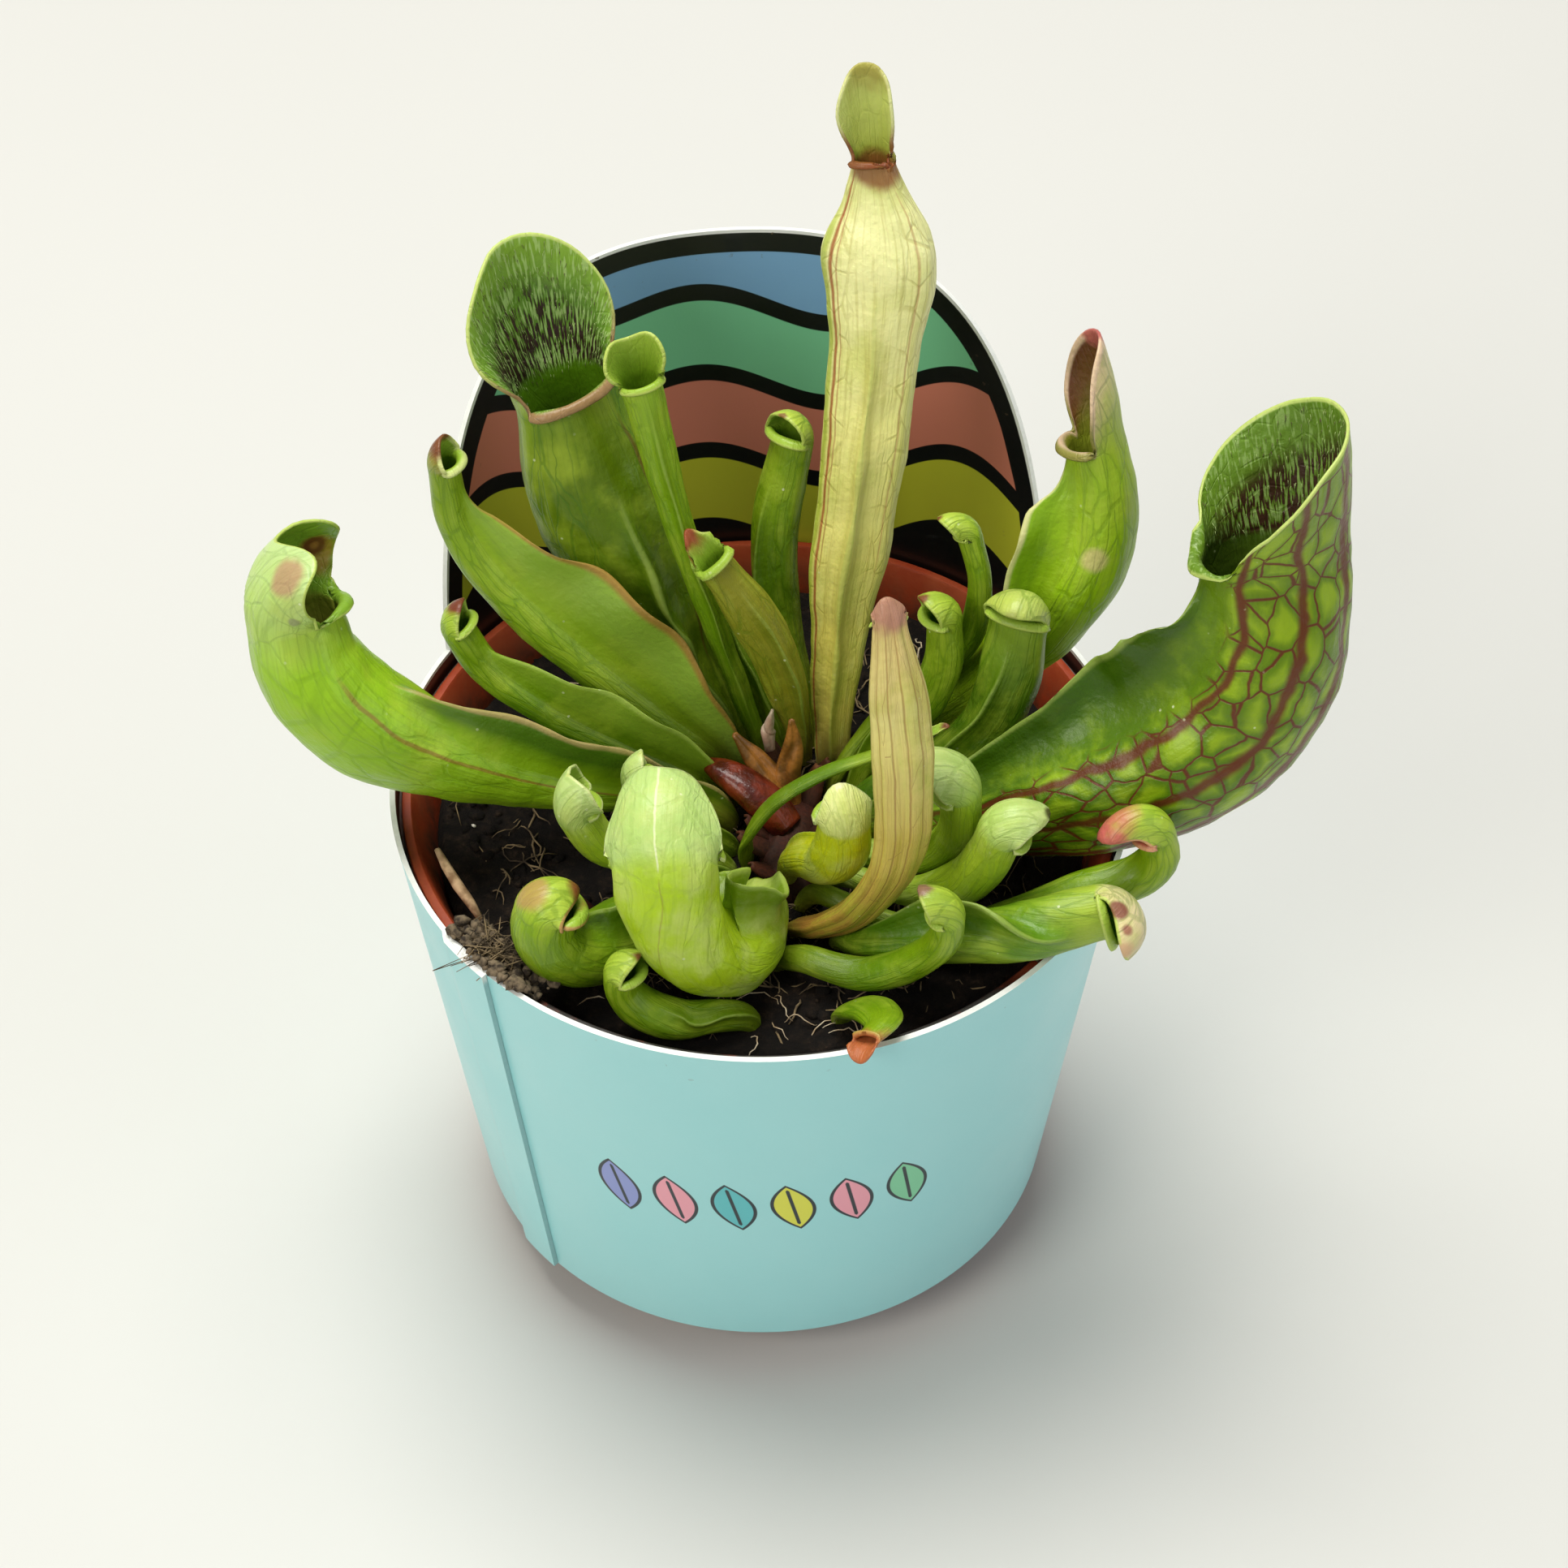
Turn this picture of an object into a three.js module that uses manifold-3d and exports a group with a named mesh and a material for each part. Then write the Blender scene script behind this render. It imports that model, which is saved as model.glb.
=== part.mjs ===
// Trumpet pitcher plant in a small plastic pot with a printed card sleeve.
// Millimetres, +Z up, the pot's base centred on the origin, the raised card panel towards +Y.
import * as THREE from "three";
import { mergeVertices } from "three/addons/utils/BufferGeometryUtils.js";
import Module from "manifold-3d";

const wasm = await Module();
wasm.setup();

// Card sleeve: an open cone with a tall rounded panel at the back, all one sheet
const RIM_HEIGHT = 76;
const SLEEVE_RIM_RADIUS = 48;
const SLEEVE_BOTTOM = 8;
const SLEEVE_TAPER = 0.12;
const CARD = 0.7;
const PANEL_HEIGHT = 47;
const PANEL_MIDDLE = 94;
const PANEL_HALF_ANGLE = 57;
const LAP_ANGLE = -145;
const LAP_WIDTH = 9;

// Grow pot: thin plastic with a rolled rim and drain holes
const POT_HEIGHT = 74;
const POT_TAPER = 0.18;
const POT_WALL = 1;
const POT_BASE = 1.6;
const POT_RIM_DROP = 6;
const POT_RIM_STEP = 2;
const DRAIN_RADIUS = 3;
const DRAIN_CIRCLE = 21;
const DRAIN_HOLES = 6;
const GAP = 0.3;
const ROUND = 36;

// Peat, the crown that the leaves grow from, and the holes that the leaf bases stand in
const SOIL_HEIGHT = 69;
const BURIED = 3.5;
const CROWN_CENTRE = [3.4, -5];
const CROWN_HALF = [4.2, 12.5];
const CROWN_RISE = 2.6;
const CROWN_DEPTH = 3;

// A leaf's walls and lip
const WALL = 0.8;
const LIP_ROLL = 0.9;
const WING_ANGLE = 0.4;
const WING_HALF_THICKNESS = 0.36;
const HOOD_WRAP = 1.95;
const CLEFT_HALF_ANGLE = 0.3;

// Each leaf: its base on the peat, then points along its middle line to the middle of its mouth, with
// heights above the peat. facing points to the side that looks at the crown, at the base and, where it turns,
// at the mouth. girth holds half widths at even steps from base to mouth, and depth the ratio of depth to
// width. wing is the keel on the facing side: its width, the place of its widest point and its reach, both
// along the leaf. hood is its height, half width round its curve, forward bend in degrees, how flat it opens,
// the depth of its notch and, where they aren't HOOD_WRAP and CLEFT_HALF_ANGLE, how many radians it reaches
// round from the back and how wide its notch is.
const LEAVES = [
  {
    name: "pitcher_tall_hooded",
    size: "large",
    base: [-3, 9.6],
    path: [[-4.6, 11.4, 6], [-10, 14.4, 15.6], [-16.4, 17.6, 29], [-21.6, 20.6, 41], [-24.4, 23, 52]],
    facing: [[0.3, -0.9, 0.4], [0.6, -0.75, 0.4]],
    girth: [1.4, 2, 3.8, 7, 8.8, 8.4, 6.6],
    depth: 0.75,
    wing: [4, 0.42, 0.36],
    hood: [21, 13.2, 10, 2.6, 0],
  },
  {
    name: "pitcher_slim_lidded",
    size: "large",
    base: [0.4, 9.2],
    path: [[-2, 9.6, 10], [-6, 10.4, 25], [-10.4, 12.4, 41], [-14.4, 15.6, 60]],
    facing: [[0.2, -0.9, 0.3]],
    girth: [1.1, 1.4, 1.7, 2, 2.6],
    depth: 0.85,
    wing: [1.4, 0.6, 0.5],
    hood: [8, 6.4, 30, 1.8, 2],
  },
  {
    name: "leaf_slim_back",
    size: "small",
    base: [3, 10.8],
    path: [[1, 12, 7], [-3.4, 14.4, 17.4], [-6.6, 16.6, 28]],
    facing: [[0.3, -0.9, 0.3]],
    girth: [1, 1.6, 1.7, 1.2, 0.7],
    depth: 0.5,
    wing: [1.2, 0.45, 0.4],
    hood: [3, 1.4, 10, 1.2, 0],
  },
  {
    name: "pitcher_back_hooked",
    size: "small",
    base: [6.2, 12.2],
    path: [[5.6, 14, 6], [3, 18, 17], [2, 22, 29], [4.4, 26, 41.6]],
    facing: [[-0.7, -0.7, 0.2]],
    girth: [1.2, 2.2, 3, 3.4, 3],
    depth: 0.8,
    wing: [1.5, 0.5, 0.4],
    hood: [8, 6.8, 110, 1.25, 0],
  },
  {
    name: "pitcher_olive_pointed",
    size: "small",
    base: [5.6, 8.6],
    path: [[4.6, 8, 9], [1.6, 7.8, 22], [-3, 8, 32], [-5.6, 8.2, 36.6]],
    facing: [[0.5, -0.8, 0.4]],
    girth: [1.2, 2, 3, 3.3, 2.4],
    depth: 0.55,
    wing: [1.6, 0.5, 0.4],
    hood: [5.5, 2.2, -10, 1.2, 0],
  },
  {
    name: "pitcher_tall_yellow",
    size: "large",
    base: [9.4, 7.6],
    path: [[9.4, 9, 8], [10.6, 14, 24], [13, 20, 42], [14.6, 26, 58], [14.8, 31, 70], [14, 34, 79]],
    facing: [[-0.1, -0.9, 0.4]],
    girth: [1.9, 2.6, 3.6, 4.6, 5.2, 5.5, 6, 7, 2.4],
    depth: 0.5,
    wing: [1.8, 0.4, 0.45],
    hood: [13, 5.4, 15, 2, 0],
  },
  {
    name: "pitcher_left_winged",
    size: "large",
    base: [-3.4, 5.8],
    path: [[-7, 5.6, 6], [-14, 6, 12.6], [-24, 8, 22], [-33, 10, 32], [-38, 12, 41], [-39, 13, 49]],
    facing: [[0.7, -0.1, 0.7]],
    girth: [1.3, 1.8, 2.6, 3.2, 3.2, 2.8, 2.4],
    depth: 0.85,
    wing: [10.5, 0.5, 0.48],
    hood: [5, 5, 60, 1.4, 0],
  },
  {
    name: "pitcher_left_hooked",
    size: "large",
    base: [-4, 1.8],
    path: [[-9, 1, 5.4], [-18, 0.6, 11.4], [-28, 1.5, 18], [-35, 3, 24], [-38, 4, 29.5]],
    facing: [[0.65, -0.05, 0.75]],
    girth: [1.2, 1.5, 1.8, 2, 2.3, 2.4],
    depth: 0.9,
    wing: [6, 0.5, 0.45],
    hood: [7, 5, 110, 1.2, 0],
  },
  {
    name: "pitcher_left_arching",
    size: "large",
    base: [-4.4, -2.4],
    path: [[-8, -3.2, 5], [-17, -4.5, 8.4], [-27, -5.5, 11.6], [-39, -6, 17], [-50, -5.4, 23.6],
      [-56, -3.4, 30.4], [-57.4, -1, 36.4]],
    facing: [[0.6, -0.05, 0.75], [0.95, 0.02, 0.3]],
    girth: [1.4, 2, 2.6, 3.6, 5.4, 7.2, 7.8, 6.6],
    depth: 0.9,
    wing: [6.5, 0.42, 0.38],
    hood: [25, 15, 118, 1.55, 12, 2.7, 0.7],
  },
  {
    name: "pitcher_right_upright",
    size: "large",
    base: [12.2, 4.8],
    path: [[18, 6.4, 7], [28, 8, 16], [37, 9.4, 25.6], [42, 11.4, 35.4], [43, 14, 43.4], [42, 16, 49]],
    facing: [[-0.85, -0.3, 0.4], [-0.98, -0.18, 0.2]],
    girth: [1.3, 2, 3.2, 4.4, 5.2, 5.2, 4.2],
    depth: 0.9,
    wing: [6, 0.78, 0.34],
    hood: [15, 8.4, 14, 1.5, 0],
  },
  {
    name: "young_pitcher_right_thin",
    size: "small",
    base: [9, 3.2],
    path: [[14.6, 6.8, 9], [22, 7.6, 16.4], [27.4, 8, 24.6], [27.8, 9, 32.4], [26.4, 11, 38.6]],
    facing: [[-1, -0.2, 0.2]],
    girth: [0.9, 1.2, 1.5, 1.7, 1.8],
    depth: 0.8,
    wing: [1.6, 0.6, 0.3],
    hood: [7, 4.6, 110, 1.2, 0],
  },
  {
    name: "young_pitcher_right_round",
    size: "small",
    base: [12, 1],
    path: [[14, 2.6, 6.6], [17, 3.2, 12], [21.2, 3, 17.4], [23.2, 3, 24], [23.2, 4.2, 30.6]],
    facing: [[-0.9, -0.4, 0.2]],
    girth: [1.1, 1.6, 2.1, 2.6, 2.7, 2.6],
    depth: 0.85,
    wing: [1.2, 0.5, 0.4],
    hood: [8, 5.8, 110, 1.2, 0],
  },
  {
    name: "pitcher_right_dark",
    size: "large",
    base: [10.4, -2.2],
    path: [[14, -2.2, 5], [22, -2.2, 10], [28, -1.8, 16], [31, -0.4, 23], [32.6, 2.8, 32]],
    facing: [[-0.7, -0.5, 0.4], [-0.35, -0.85, 0.3]],
    girth: [1.2, 1.9, 3, 3.8, 4.1, 3.8],
    depth: 0.7,
    wing: [2, 0.6, 0.35],
    hood: [11, 7.4, 150, 1.2, 0],
  },
  {
    name: "pitcher_big_veined",
    size: "large",
    base: [12, -6],
    path: [[14.6, -6.8, 5], [28, -10.2, 9.8], [42, -11, 15], [53.4, -10.2, 21.6], [60.4, -8, 30.2],
      [62.8, -5.4, 38.8], [62.4, -2.6, 46.6]],
    facing: [[-0.7, 0.25, 0.65], [-0.93, -0.2, 0.28]],
    girth: [1.5, 2.4, 4.2, 6.6, 8.4, 9.2, 9, 8.4],
    depth: 1.1,
    wing: [8.4, 0.72, 0.66],
    hood: [19, 21, 4, 1.5, 0, 2.85],
  },
  {
    name: "pitcher_centre_amber",
    size: "large",
    base: [4.4, -21.2],
    path: [[7.4, -24.4, 4.6], [12.4, -26.6, 10.4], [16.6, -26.6, 20], [17.2, -23.6, 32],
      [16.4, -20.2, 42], [15.4, -17, 50]],
    facing: [[-0.2, 0.7, 0.3]],
    girth: [1.5, 2.4, 3, 3.5, 3.8, 3.7, 2],
    depth: 0.6,
    wing: [1.4, 0.5, 0.45],
    hood: [4, 2.8, 30, 1.2, 0],
  },
  {
    name: "young_pitcher_front_round",
    size: "small",
    base: [3.2, -13.4],
    path: [[3.8, -14.2, 5], [5.6, -16.8, 9], [8.4, -19.6, 11.6], [10, -21.2, 16.4], [10.2, -21.6, 21]],
    facing: [[-0.3, 0.8, 0.5]],
    girth: [1, 1.5, 2.4, 3.3, 3.7, 3.2],
    depth: 0.9,
    wing: [1, 0.5, 0.4],
    hood: [8, 5.6, 95, 1.2, 0],
  },
  {
    name: "young_pitcher_mitten",
    size: "small",
    base: [9.6, -9.6],
    path: [[12.8, -12, 4.8], [19, -14.8, 6.6], [23, -16, 10.6], [24.8, -16.6, 15.6], [24.6, -16.6, 21.4]],
    facing: [[-1, -0.1, 0.2]],
    girth: [1.1, 1.5, 2, 2.4, 3, 3.2],
    depth: 0.85,
    wing: [1, 0.5, 0.4],
    hood: [12, 7.2, 100, 1.3, 0],
  },
  {
    name: "young_pitcher_pale_beak",
    size: "small",
    base: [7.8, -13.4],
    path: [[10.6, -15.2, 4], [18.6, -19.2, 5.4], [25.4, -21.6, 10], [28.2, -22.2, 15.4], [29.4, -22, 19.4]],
    facing: [[1, 0.1, 0.1]],
    girth: [1.1, 1.4, 1.8, 2.6, 3.3, 3.4],
    depth: 0.85,
    wing: [0, 0.5, 0.4],
    hood: [11, 6.2, 125, 1.15, 0],
  },
  {
    name: "young_pitcher_red_tip",
    size: "small",
    base: [5, -17.4],
    path: [[7, -18.6, 4.6], [15, -22.8, 4.2], [23, -25.2, 4.4], [32, -25, 7.4], [40, -24, 10.4],
      [46.8, -23.2, 12.6], [49.2, -23, 15.8], [48.8, -22.4, 19]],
    facing: [[-0.95, -0.3, 0]],
    girth: [0.9, 1.3, 1.5, 1.8, 2.2, 2.6, 2.8, 2.6],
    depth: 0.9,
    wing: [0, 0.5, 0.4],
    hood: [14, 5.6, 155, 1.15, 0],
  },
  {
    name: "pitcher_right_broad",
    size: "large",
    base: [9.8, -22.8],
    path: [[13.4, -26.8, 4.6], [22.4, -29.8, 8.2], [32, -30.8, 11], [41.6, -30.2, 13.6]],
    facing: [[-0.5, 0.15, 0.85], [-0.2, -0.9, 0]],
    girth: [1.1, 2.2, 3.1, 3.7, 3.8],
    depth: 0.85,
    wing: [5, 0.58, 0.34],
    hood: [15, 7.6, 160, 1.2, 0],
  },
  {
    name: "young_pitcher_front_arched",
    size: "small",
    base: [1.8, -26.6],
    path: [[5, -29.2, 4.2], [12.4, -32.4, 5], [18.6, -34, 9], [22.2, -34.8, 14.2], [22.6, -34.4, 17.6]],
    facing: [[-1, 0, 0.3]],
    girth: [1, 1.6, 2, 2.2, 2.4, 2.4],
    depth: 0.85,
    wing: [0, 0.5, 0.4],
    hood: [9, 6.2, 110, 1.2, 0],
  },
  {
    name: "pitcher_front_pale",
    size: "large",
    base: [-0.4, -19.8],
    path: [[-0.2, -22, 6.4], [-2, -28, 7.2], [-5.6, -32, 8], [-9.2, -33.2, 12.6], [-11.2, -32.2, 18.4],
      [-11.6, -31, 22.4]],
    facing: [[0.55, 0.6, 0.6], [0.05, 0.97, 0.1]],
    girth: [1.6, 2.6, 4.3, 5.6, 6.1, 6.4, 6.4],
    depth: 0.85,
    wing: [7, 0.56, 0.38],
    hood: [20, 10.4, 105, 1.24, 2.5],
  },
  {
    name: "pitcher_front_curled",
    size: "large",
    base: [-3.8, -15.8],
    path: [[-8.4, -19.4, 5], [-15, -25, 5.8], [-21, -29, 6], [-25, -30.6, 8.2], [-26.8, -30.8, 11.4],
      [-26.4, -30, 14.4]],
    facing: [[0.8, 0.4, 0.5]],
    girth: [1.3, 2.6, 4.2, 4.7, 4.8, 4.6, 4.2],
    depth: 0.9,
    wing: [4.6, 0.5, 0.4],
    hood: [10.5, 7.4, 140, 1.2, 0],
  },
  {
    name: "young_pitcher_front_low",
    size: "small",
    base: [-1.6, -36],
    path: [[-5, -37.4, 3.2], [-10, -38, 3.2], [-14.6, -37.4, 4.4], [-17, -36.6, 7], [-17.2, -36.2, 9.6]],
    facing: [[0.85, -0.3, 0.3]],
    girth: [1, 1.7, 2.2, 2.6, 2.8, 2.6],
    depth: 0.85,
    wing: [0.8, 0.4, 0.3],
    hood: [7, 5.2, 110, 1.2, 0],
  },
  {
    name: "young_pitcher_left_lobed",
    size: "small",
    base: [-4.4, -11.2],
    path: [[-8, -13, 5], [-14.4, -15, 8.4], [-20, -16.4, 11.6], [-22.8, -16, 16.6]],
    facing: [[0.9, 0.4, 0.5]],
    girth: [1.1, 1.8, 2.5, 3, 3],
    depth: 0.85,
    wing: [1.4, 0.5, 0.4],
    hood: [10, 8, 100, 1.4, 2],
  },
  {
    name: "young_pitcher_left_small",
    size: "small",
    base: [-4.2, -7],
    path: [[-8, -8.4, 5], [-12.4, -9, 9], [-15.4, -8.6, 14.4]],
    facing: [[0.9, 0.1, 0.4]],
    girth: [1, 1.5, 1.9, 2.2],
    depth: 0.9,
    wing: [1, 0.5, 0.4],
    hood: [7, 4.8, 100, 1.3, 0],
  },
  {
    name: "leaf_front_strip",
    size: "small",
    base: [10.4, -35.4],
    path: [[11.4, -37.2, 4], [13.6, -40, 7], [14.6, -43.6, 9], [12.8, -46.6, 9.6]],
    facing: [[-0.2, 0.5, 0.85]],
    girth: [1, 2.2, 2.8, 2.7, 1.8],
    depth: 0.4,
    wing: [0, 0.5, 0.4],
    hood: [3, 2.6, -40, 1.2, 0],
  },
  {
    name: "leaf_centre_arc",
    size: "small",
    base: [-1.8, -9.6],
    path: [[-1.8, -10.6, 6], [1.6, -9, 11], [8, -7, 14.4], [15, -6, 17], [21, -5, 19.4]],
    facing: [[-0.3, 0.2, 0.9]],
    girth: [0.9, 1.2, 1.4, 1.4, 1.2, 0.8],
    depth: 0.5,
    wing: [0, 0.5, 0.4],
    hood: [3, 1.2, 10, 1.2, 0],
  },
];

// Dry brown bracts of the crown: foot on the peat, tip with its height above the peat, half width
const BRACTS = [
  { foot: [2.8, -4.4], tip: [-2.2, -3.6, 7.2], halfWidth: 2.4 },
  { foot: [4, 0.4], tip: [1.4, 2.6, 9.4], halfWidth: 1.7 },
  { foot: [4.6, 3], tip: [3, 5, 12.6], halfWidth: 1.1 },
];
const BRACT_HALF_THICKNESS = 0.45;

const COLOURS = {
  pot: "#a8401f",
  card: "#a6e0e2",
  soil: "#1c1613",
  crown: "#5a2418",
  leaf: "#6f9c18",
};

const mix = (a, b, t) => a + (b - a) * t;
const clamp = (v) => Math.min(1, Math.max(0, v));
const smooth = (v) => clamp(v) ** 2 * (3 - 2 * clamp(v));
const radians = THREE.MathUtils.degToRad;

// A closed surface from rings of points between a start point and an end point. From turnRow on the diagonals
// of the faces are mirrored, so that the two faces of a thin wall split alike and never cross.
function skin(start, rings, end, turnRow) {
  const points = [start, ...rings.flat(), end];
  const n = rings[0].length;
  const at = (row, column) => 1 + row * n + (column % n);
  const faces = [];
  for (let j = 0; j < n; j++) {
    faces.push(0, at(0, j + 1), at(0, j));
    faces.push(points.length - 1, at(rings.length - 1, j), at(rings.length - 1, j + 1));
  }
  for (let i = 0; i + 1 < rings.length; i++)
    for (let j = 0; j < n; j++) {
      const [a, b, c, d] = [at(i, j), at(i, j + 1), at(i + 1, j + 1), at(i + 1, j)];
      if (i < turnRow) faces.push(a, b, c, a, c, d);
      else faces.push(a, b, d, b, c, d);
    }
  const geometry = new THREE.BufferGeometry();
  const values = points.flatMap((p) => [p.x, p.y, p.z]);
  geometry.setAttribute("position", new THREE.Float32BufferAttribute(values, 3));
  geometry.setIndex(faces);
  return geometry;
}

// Smooth value of a list of evenly spaced numbers at t from 0 to 1.
function along(list, t) {
  const x = clamp(t) * (list.length - 1);
  const i = Math.min(Math.floor(x), list.length - 2);
  const pick = (k) => list[Math.min(Math.max(k, 0), list.length - 1)];
  const [p, q, r, s] = [pick(i - 1), pick(i), pick(i + 1), pick(i + 2)];
  const u = x - i;
  return q + 0.5 * u * (r - p + u * (2 * p - 5 * q + 4 * r - s + u * (3 * (q - r) + s - p)));
}

// The middle line of a leaf with a frame at each place: along, front (towards the crown) and side.
function leafFrames(leaf) {
  const ground = ([x, y, z]) => new THREE.Vector3(x, y, SOIL_HEIGHT + z);
  const [x, y] = leaf.base;
  const points = [[x, y, -BURIED], [x, y, 0.5], ...leaf.path].map(ground);
  const curve = new THREE.CatmullRomCurve3(points, false, "centripetal");
  const [atBase, atMouth] = [leaf.facing[0], leaf.facing.at(-1)].map((f) => new THREE.Vector3(...f));
  return (s) => {
    const facing = atBase.clone().lerp(atMouth, smooth(2 * s - 1));
    const place = curve.getPointAt(clamp(s));
    const along = curve.getTangentAt(clamp(s));
    const front = facing.clone().addScaledVector(along, -facing.dot(along)).normalize();
    const side = new THREE.Vector3().crossVectors(along, front);
    return { place, along, front, side };
  };
}

// Columns round a leaf, from its front: angle, and how far out on the wing (0 at its root, 1 at its edge).
function leafColumns(large) {
  const half = large
    ? [[WING_ANGLE / 2, 0.5], [WING_ANGLE, 0], [0.95, 0], [1.45, 0], [1.95, 0], [2.5, 0]]
    : [[WING_ANGLE, 0], [1.15, 0], [1.8, 0], [2.45, 0]];
  const left = half.map(([angle, out]) => [-angle, out]).reverse();
  return [[0, 1], ...half, [Math.PI, 0], ...left];
}

// One leaf: a tube that opens at a mouth with a rolled lip, and the hood on the mouth's back edge.
function leafGeometry(leaf) {
  const large = leaf.size === "large";
  const frames = leafFrames(leaf);
  const columns = leafColumns(large);
  const [hoodHeight, hoodHalf, hoodBend, hoodOpen, notch] = leaf.hood;
  const [hoodWrap = HOOD_WRAP, cleft = CLEFT_HALF_ANGLE] = leaf.hood.slice(5);
  const [wingWidth, wingPlace, wingReach] = leaf.wing;
  const mouth = frames(1);
  const a = along(leaf.girth, 1);
  const b = a * leaf.depth;
  const roll = LIP_ROLL * clamp(a / 5);

  const tubePoint = (s, [angle, out], inset) => {
    const f = frames(s);
    const width = along(leaf.girth, s);
    const reach = (s - wingPlace) / wingReach;
    const fade = clamp(8 * (1 - s));
    const wing = inset ? 0 : wingWidth * Math.max(0, 1 - reach * reach) ** 1.5 * fade;
    const pinch = (wing / (wing + 1)) * clamp(2 * out);
    const across = (width - inset) * Math.sin(angle);
    const thin = Math.sign(angle) * WING_HALF_THICKNESS;
    return f.place
      .clone()
      .addScaledVector(f.side, mix(across, thin, pinch))
      .addScaledVector(f.front, (width * leaf.depth - inset) * Math.cos(angle) + wing * out);
  };

  // The hood starts at the back of the mouth and reaches round to hoodWrap on both sides
  const foot = a * hoodWrap;
  const halfAngle = foot < hoodHalf ? Math.PI - Math.asin(foot / hoodHalf) : Math.PI / 2;
  const tall = (hoodHeight - 1) / (1 - Math.cos(halfAngle));
  const curl = radians(hoodBend) / hoodHeight;
  const hoodPoint = (turn, q) => {
    const fan = halfAngle * clamp(Math.abs(turn) / hoodWrap) * Math.sign(turn);
    const edgeAcross = Math.max(hoodHalf, 0.5 * a) * Math.sin(fan);
    const split = notch * Math.exp(-((turn / cleft) ** 2));
    const edgeUp = hoodHeight - tall * (1 - Math.cos(fan)) - split;
    const across = mix(a * turn, edgeAcross, q);
    const up = edgeUp * q;
    const radius = a * mix(1, hoodOpen, smooth(up / hoodHeight));
    const swing = across / radius;
    const inwards = radius * (1 - Math.cos(swing)) * mix(leaf.depth, 1, smooth(up / hoodHeight));
    const lean = curl * up;
    const arc = Math.abs(curl) > 1e-4 ? [Math.sin(lean) / curl, (1 - Math.cos(lean)) / curl] : [up, 0];
    return mouth.place
      .clone()
      .addScaledVector(mouth.side, radius * Math.sin(swing))
      .addScaledVector(mouth.along, arc[0] - inwards * Math.sin(lean))
      .addScaledVector(mouth.front, arc[1] - b + inwards * Math.cos(lean));
  };
  const lipPoint = (angle, q) => {
    const outwards = 0.6 * roll * (1 - Math.cos(Math.PI * q));
    return mouth.place
      .clone()
      .addScaledVector(mouth.side, (a + outwards) * Math.sin(angle))
      .addScaledVector(mouth.front, (b + outwards) * Math.cos(angle))
      .addScaledVector(mouth.along, roll * (0.9 * Math.sin(Math.PI * q) + 0.3 * q));
  };
  const edgePoint = (q, [angle]) => {
    const turn = (Math.PI - Math.abs(angle)) * (Math.sign(angle) || 1);
    const hooded = smooth((hoodWrap + 0.3 - Math.abs(turn)) / 0.5);
    return lipPoint(angle, q).lerp(hoodPoint(turn, q), hooded);
  };

  const tubeSteps = large
    ? [0, 0.08, 0.19, 0.31, 0.44, 0.57, 0.7, 0.82, 0.92, 1]
    : [0, 0.12, 0.32, 0.54, 0.77, 1];
  const edgeSteps = large ? [0.35, 0.7, 1] : [0.5, 1];
  const hollowSteps = large ? [0.88] : [];
  const outer = [
    ...tubeSteps.map((s) => columns.map((c) => tubePoint(s, c, 0))),
    ...edgeSteps.map((q) => columns.map((c) => edgePoint(q, c))),
  ];
  const inner = inset(outer).slice(tubeSteps.length - 1).reverse();
  const hollow = hollowSteps.map((s) => columns.map((c) => tubePoint(s, c, WALL)));
  const heel = frames(0).place.clone().add(new THREE.Vector3(0, 0, -0.4));
  const bottom = frames(large ? 0.78 : 0.88).place;
  return skin(heel, [...outer, ...inner, ...hollow], bottom, outer.length - 1);
}

// The same rings moved inwards by the wall's thickness, each point along the surface's own direction there.
function inset(rings) {
  const n = rings[0].length;
  return rings.map((ring, i) =>
    ring.map((point, j) => {
      const [before, after] = [rings[Math.max(i - 1, 0)][j], rings[Math.min(i + 1, rings.length - 1)][j]];
      const [left, right] = [ring[(j + n - 1) % n], ring[(j + 1) % n]];
      const [round, onwards] = [right.clone().sub(left), after.clone().sub(before)];
      return point.clone().addScaledVector(round.cross(onwards).normalize(), -WALL);
    }),
  );
}

function toSolid(geometry) {
  const bare = geometry.index ? geometry.toNonIndexed() : geometry.clone();
  bare.deleteAttribute("normal");
  bare.deleteAttribute("uv");
  const merged = mergeVertices(bare, 1e-4);
  return new wasm.Manifold(
    new wasm.Mesh({
      numProp: 3,
      vertProperties: merged.attributes.position.array,
      triVerts: new Uint32Array(merged.index.array),
    }),
  );
}

function toGeometry(solid) {
  const mesh = solid.getMesh();
  const geometry = new THREE.BufferGeometry();
  geometry.setAttribute("position", new THREE.Float32BufferAttribute(mesh.vertProperties, 3));
  geometry.setIndex(new THREE.BufferAttribute(mesh.triVerts, 1));
  return geometry;
}

const part = new THREE.Group();
function add(name, geometry, colour, roughness) {
  const material = new THREE.MeshStandardMaterial({ color: colour, roughness, metalness: 0 });
  const mesh = new THREE.Mesh(geometry, material);
  mesh.name = name;
  part.add(mesh);
  return mesh;
}

// A turned shape from [radius, height] points that start and end on the axis, standing on +Z.
function turned(profile, segments = ROUND) {
  const outline = profile.map(([r, z]) => new THREE.Vector2(r, z));
  return new THREE.LatheGeometry(outline, segments).rotateX(Math.PI / 2);
}

const sleeveRadius = (z) => SLEEVE_RIM_RADIUS - SLEEVE_TAPER * (RIM_HEIGHT - z);
const potRimFoot = POT_HEIGHT - POT_RIM_DROP;
const potRimRadius = sleeveRadius(potRimFoot) - CARD - GAP;
const potRadius = (z) => potRimRadius - POT_RIM_STEP - POT_TAPER * (potRimFoot - z);

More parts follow.
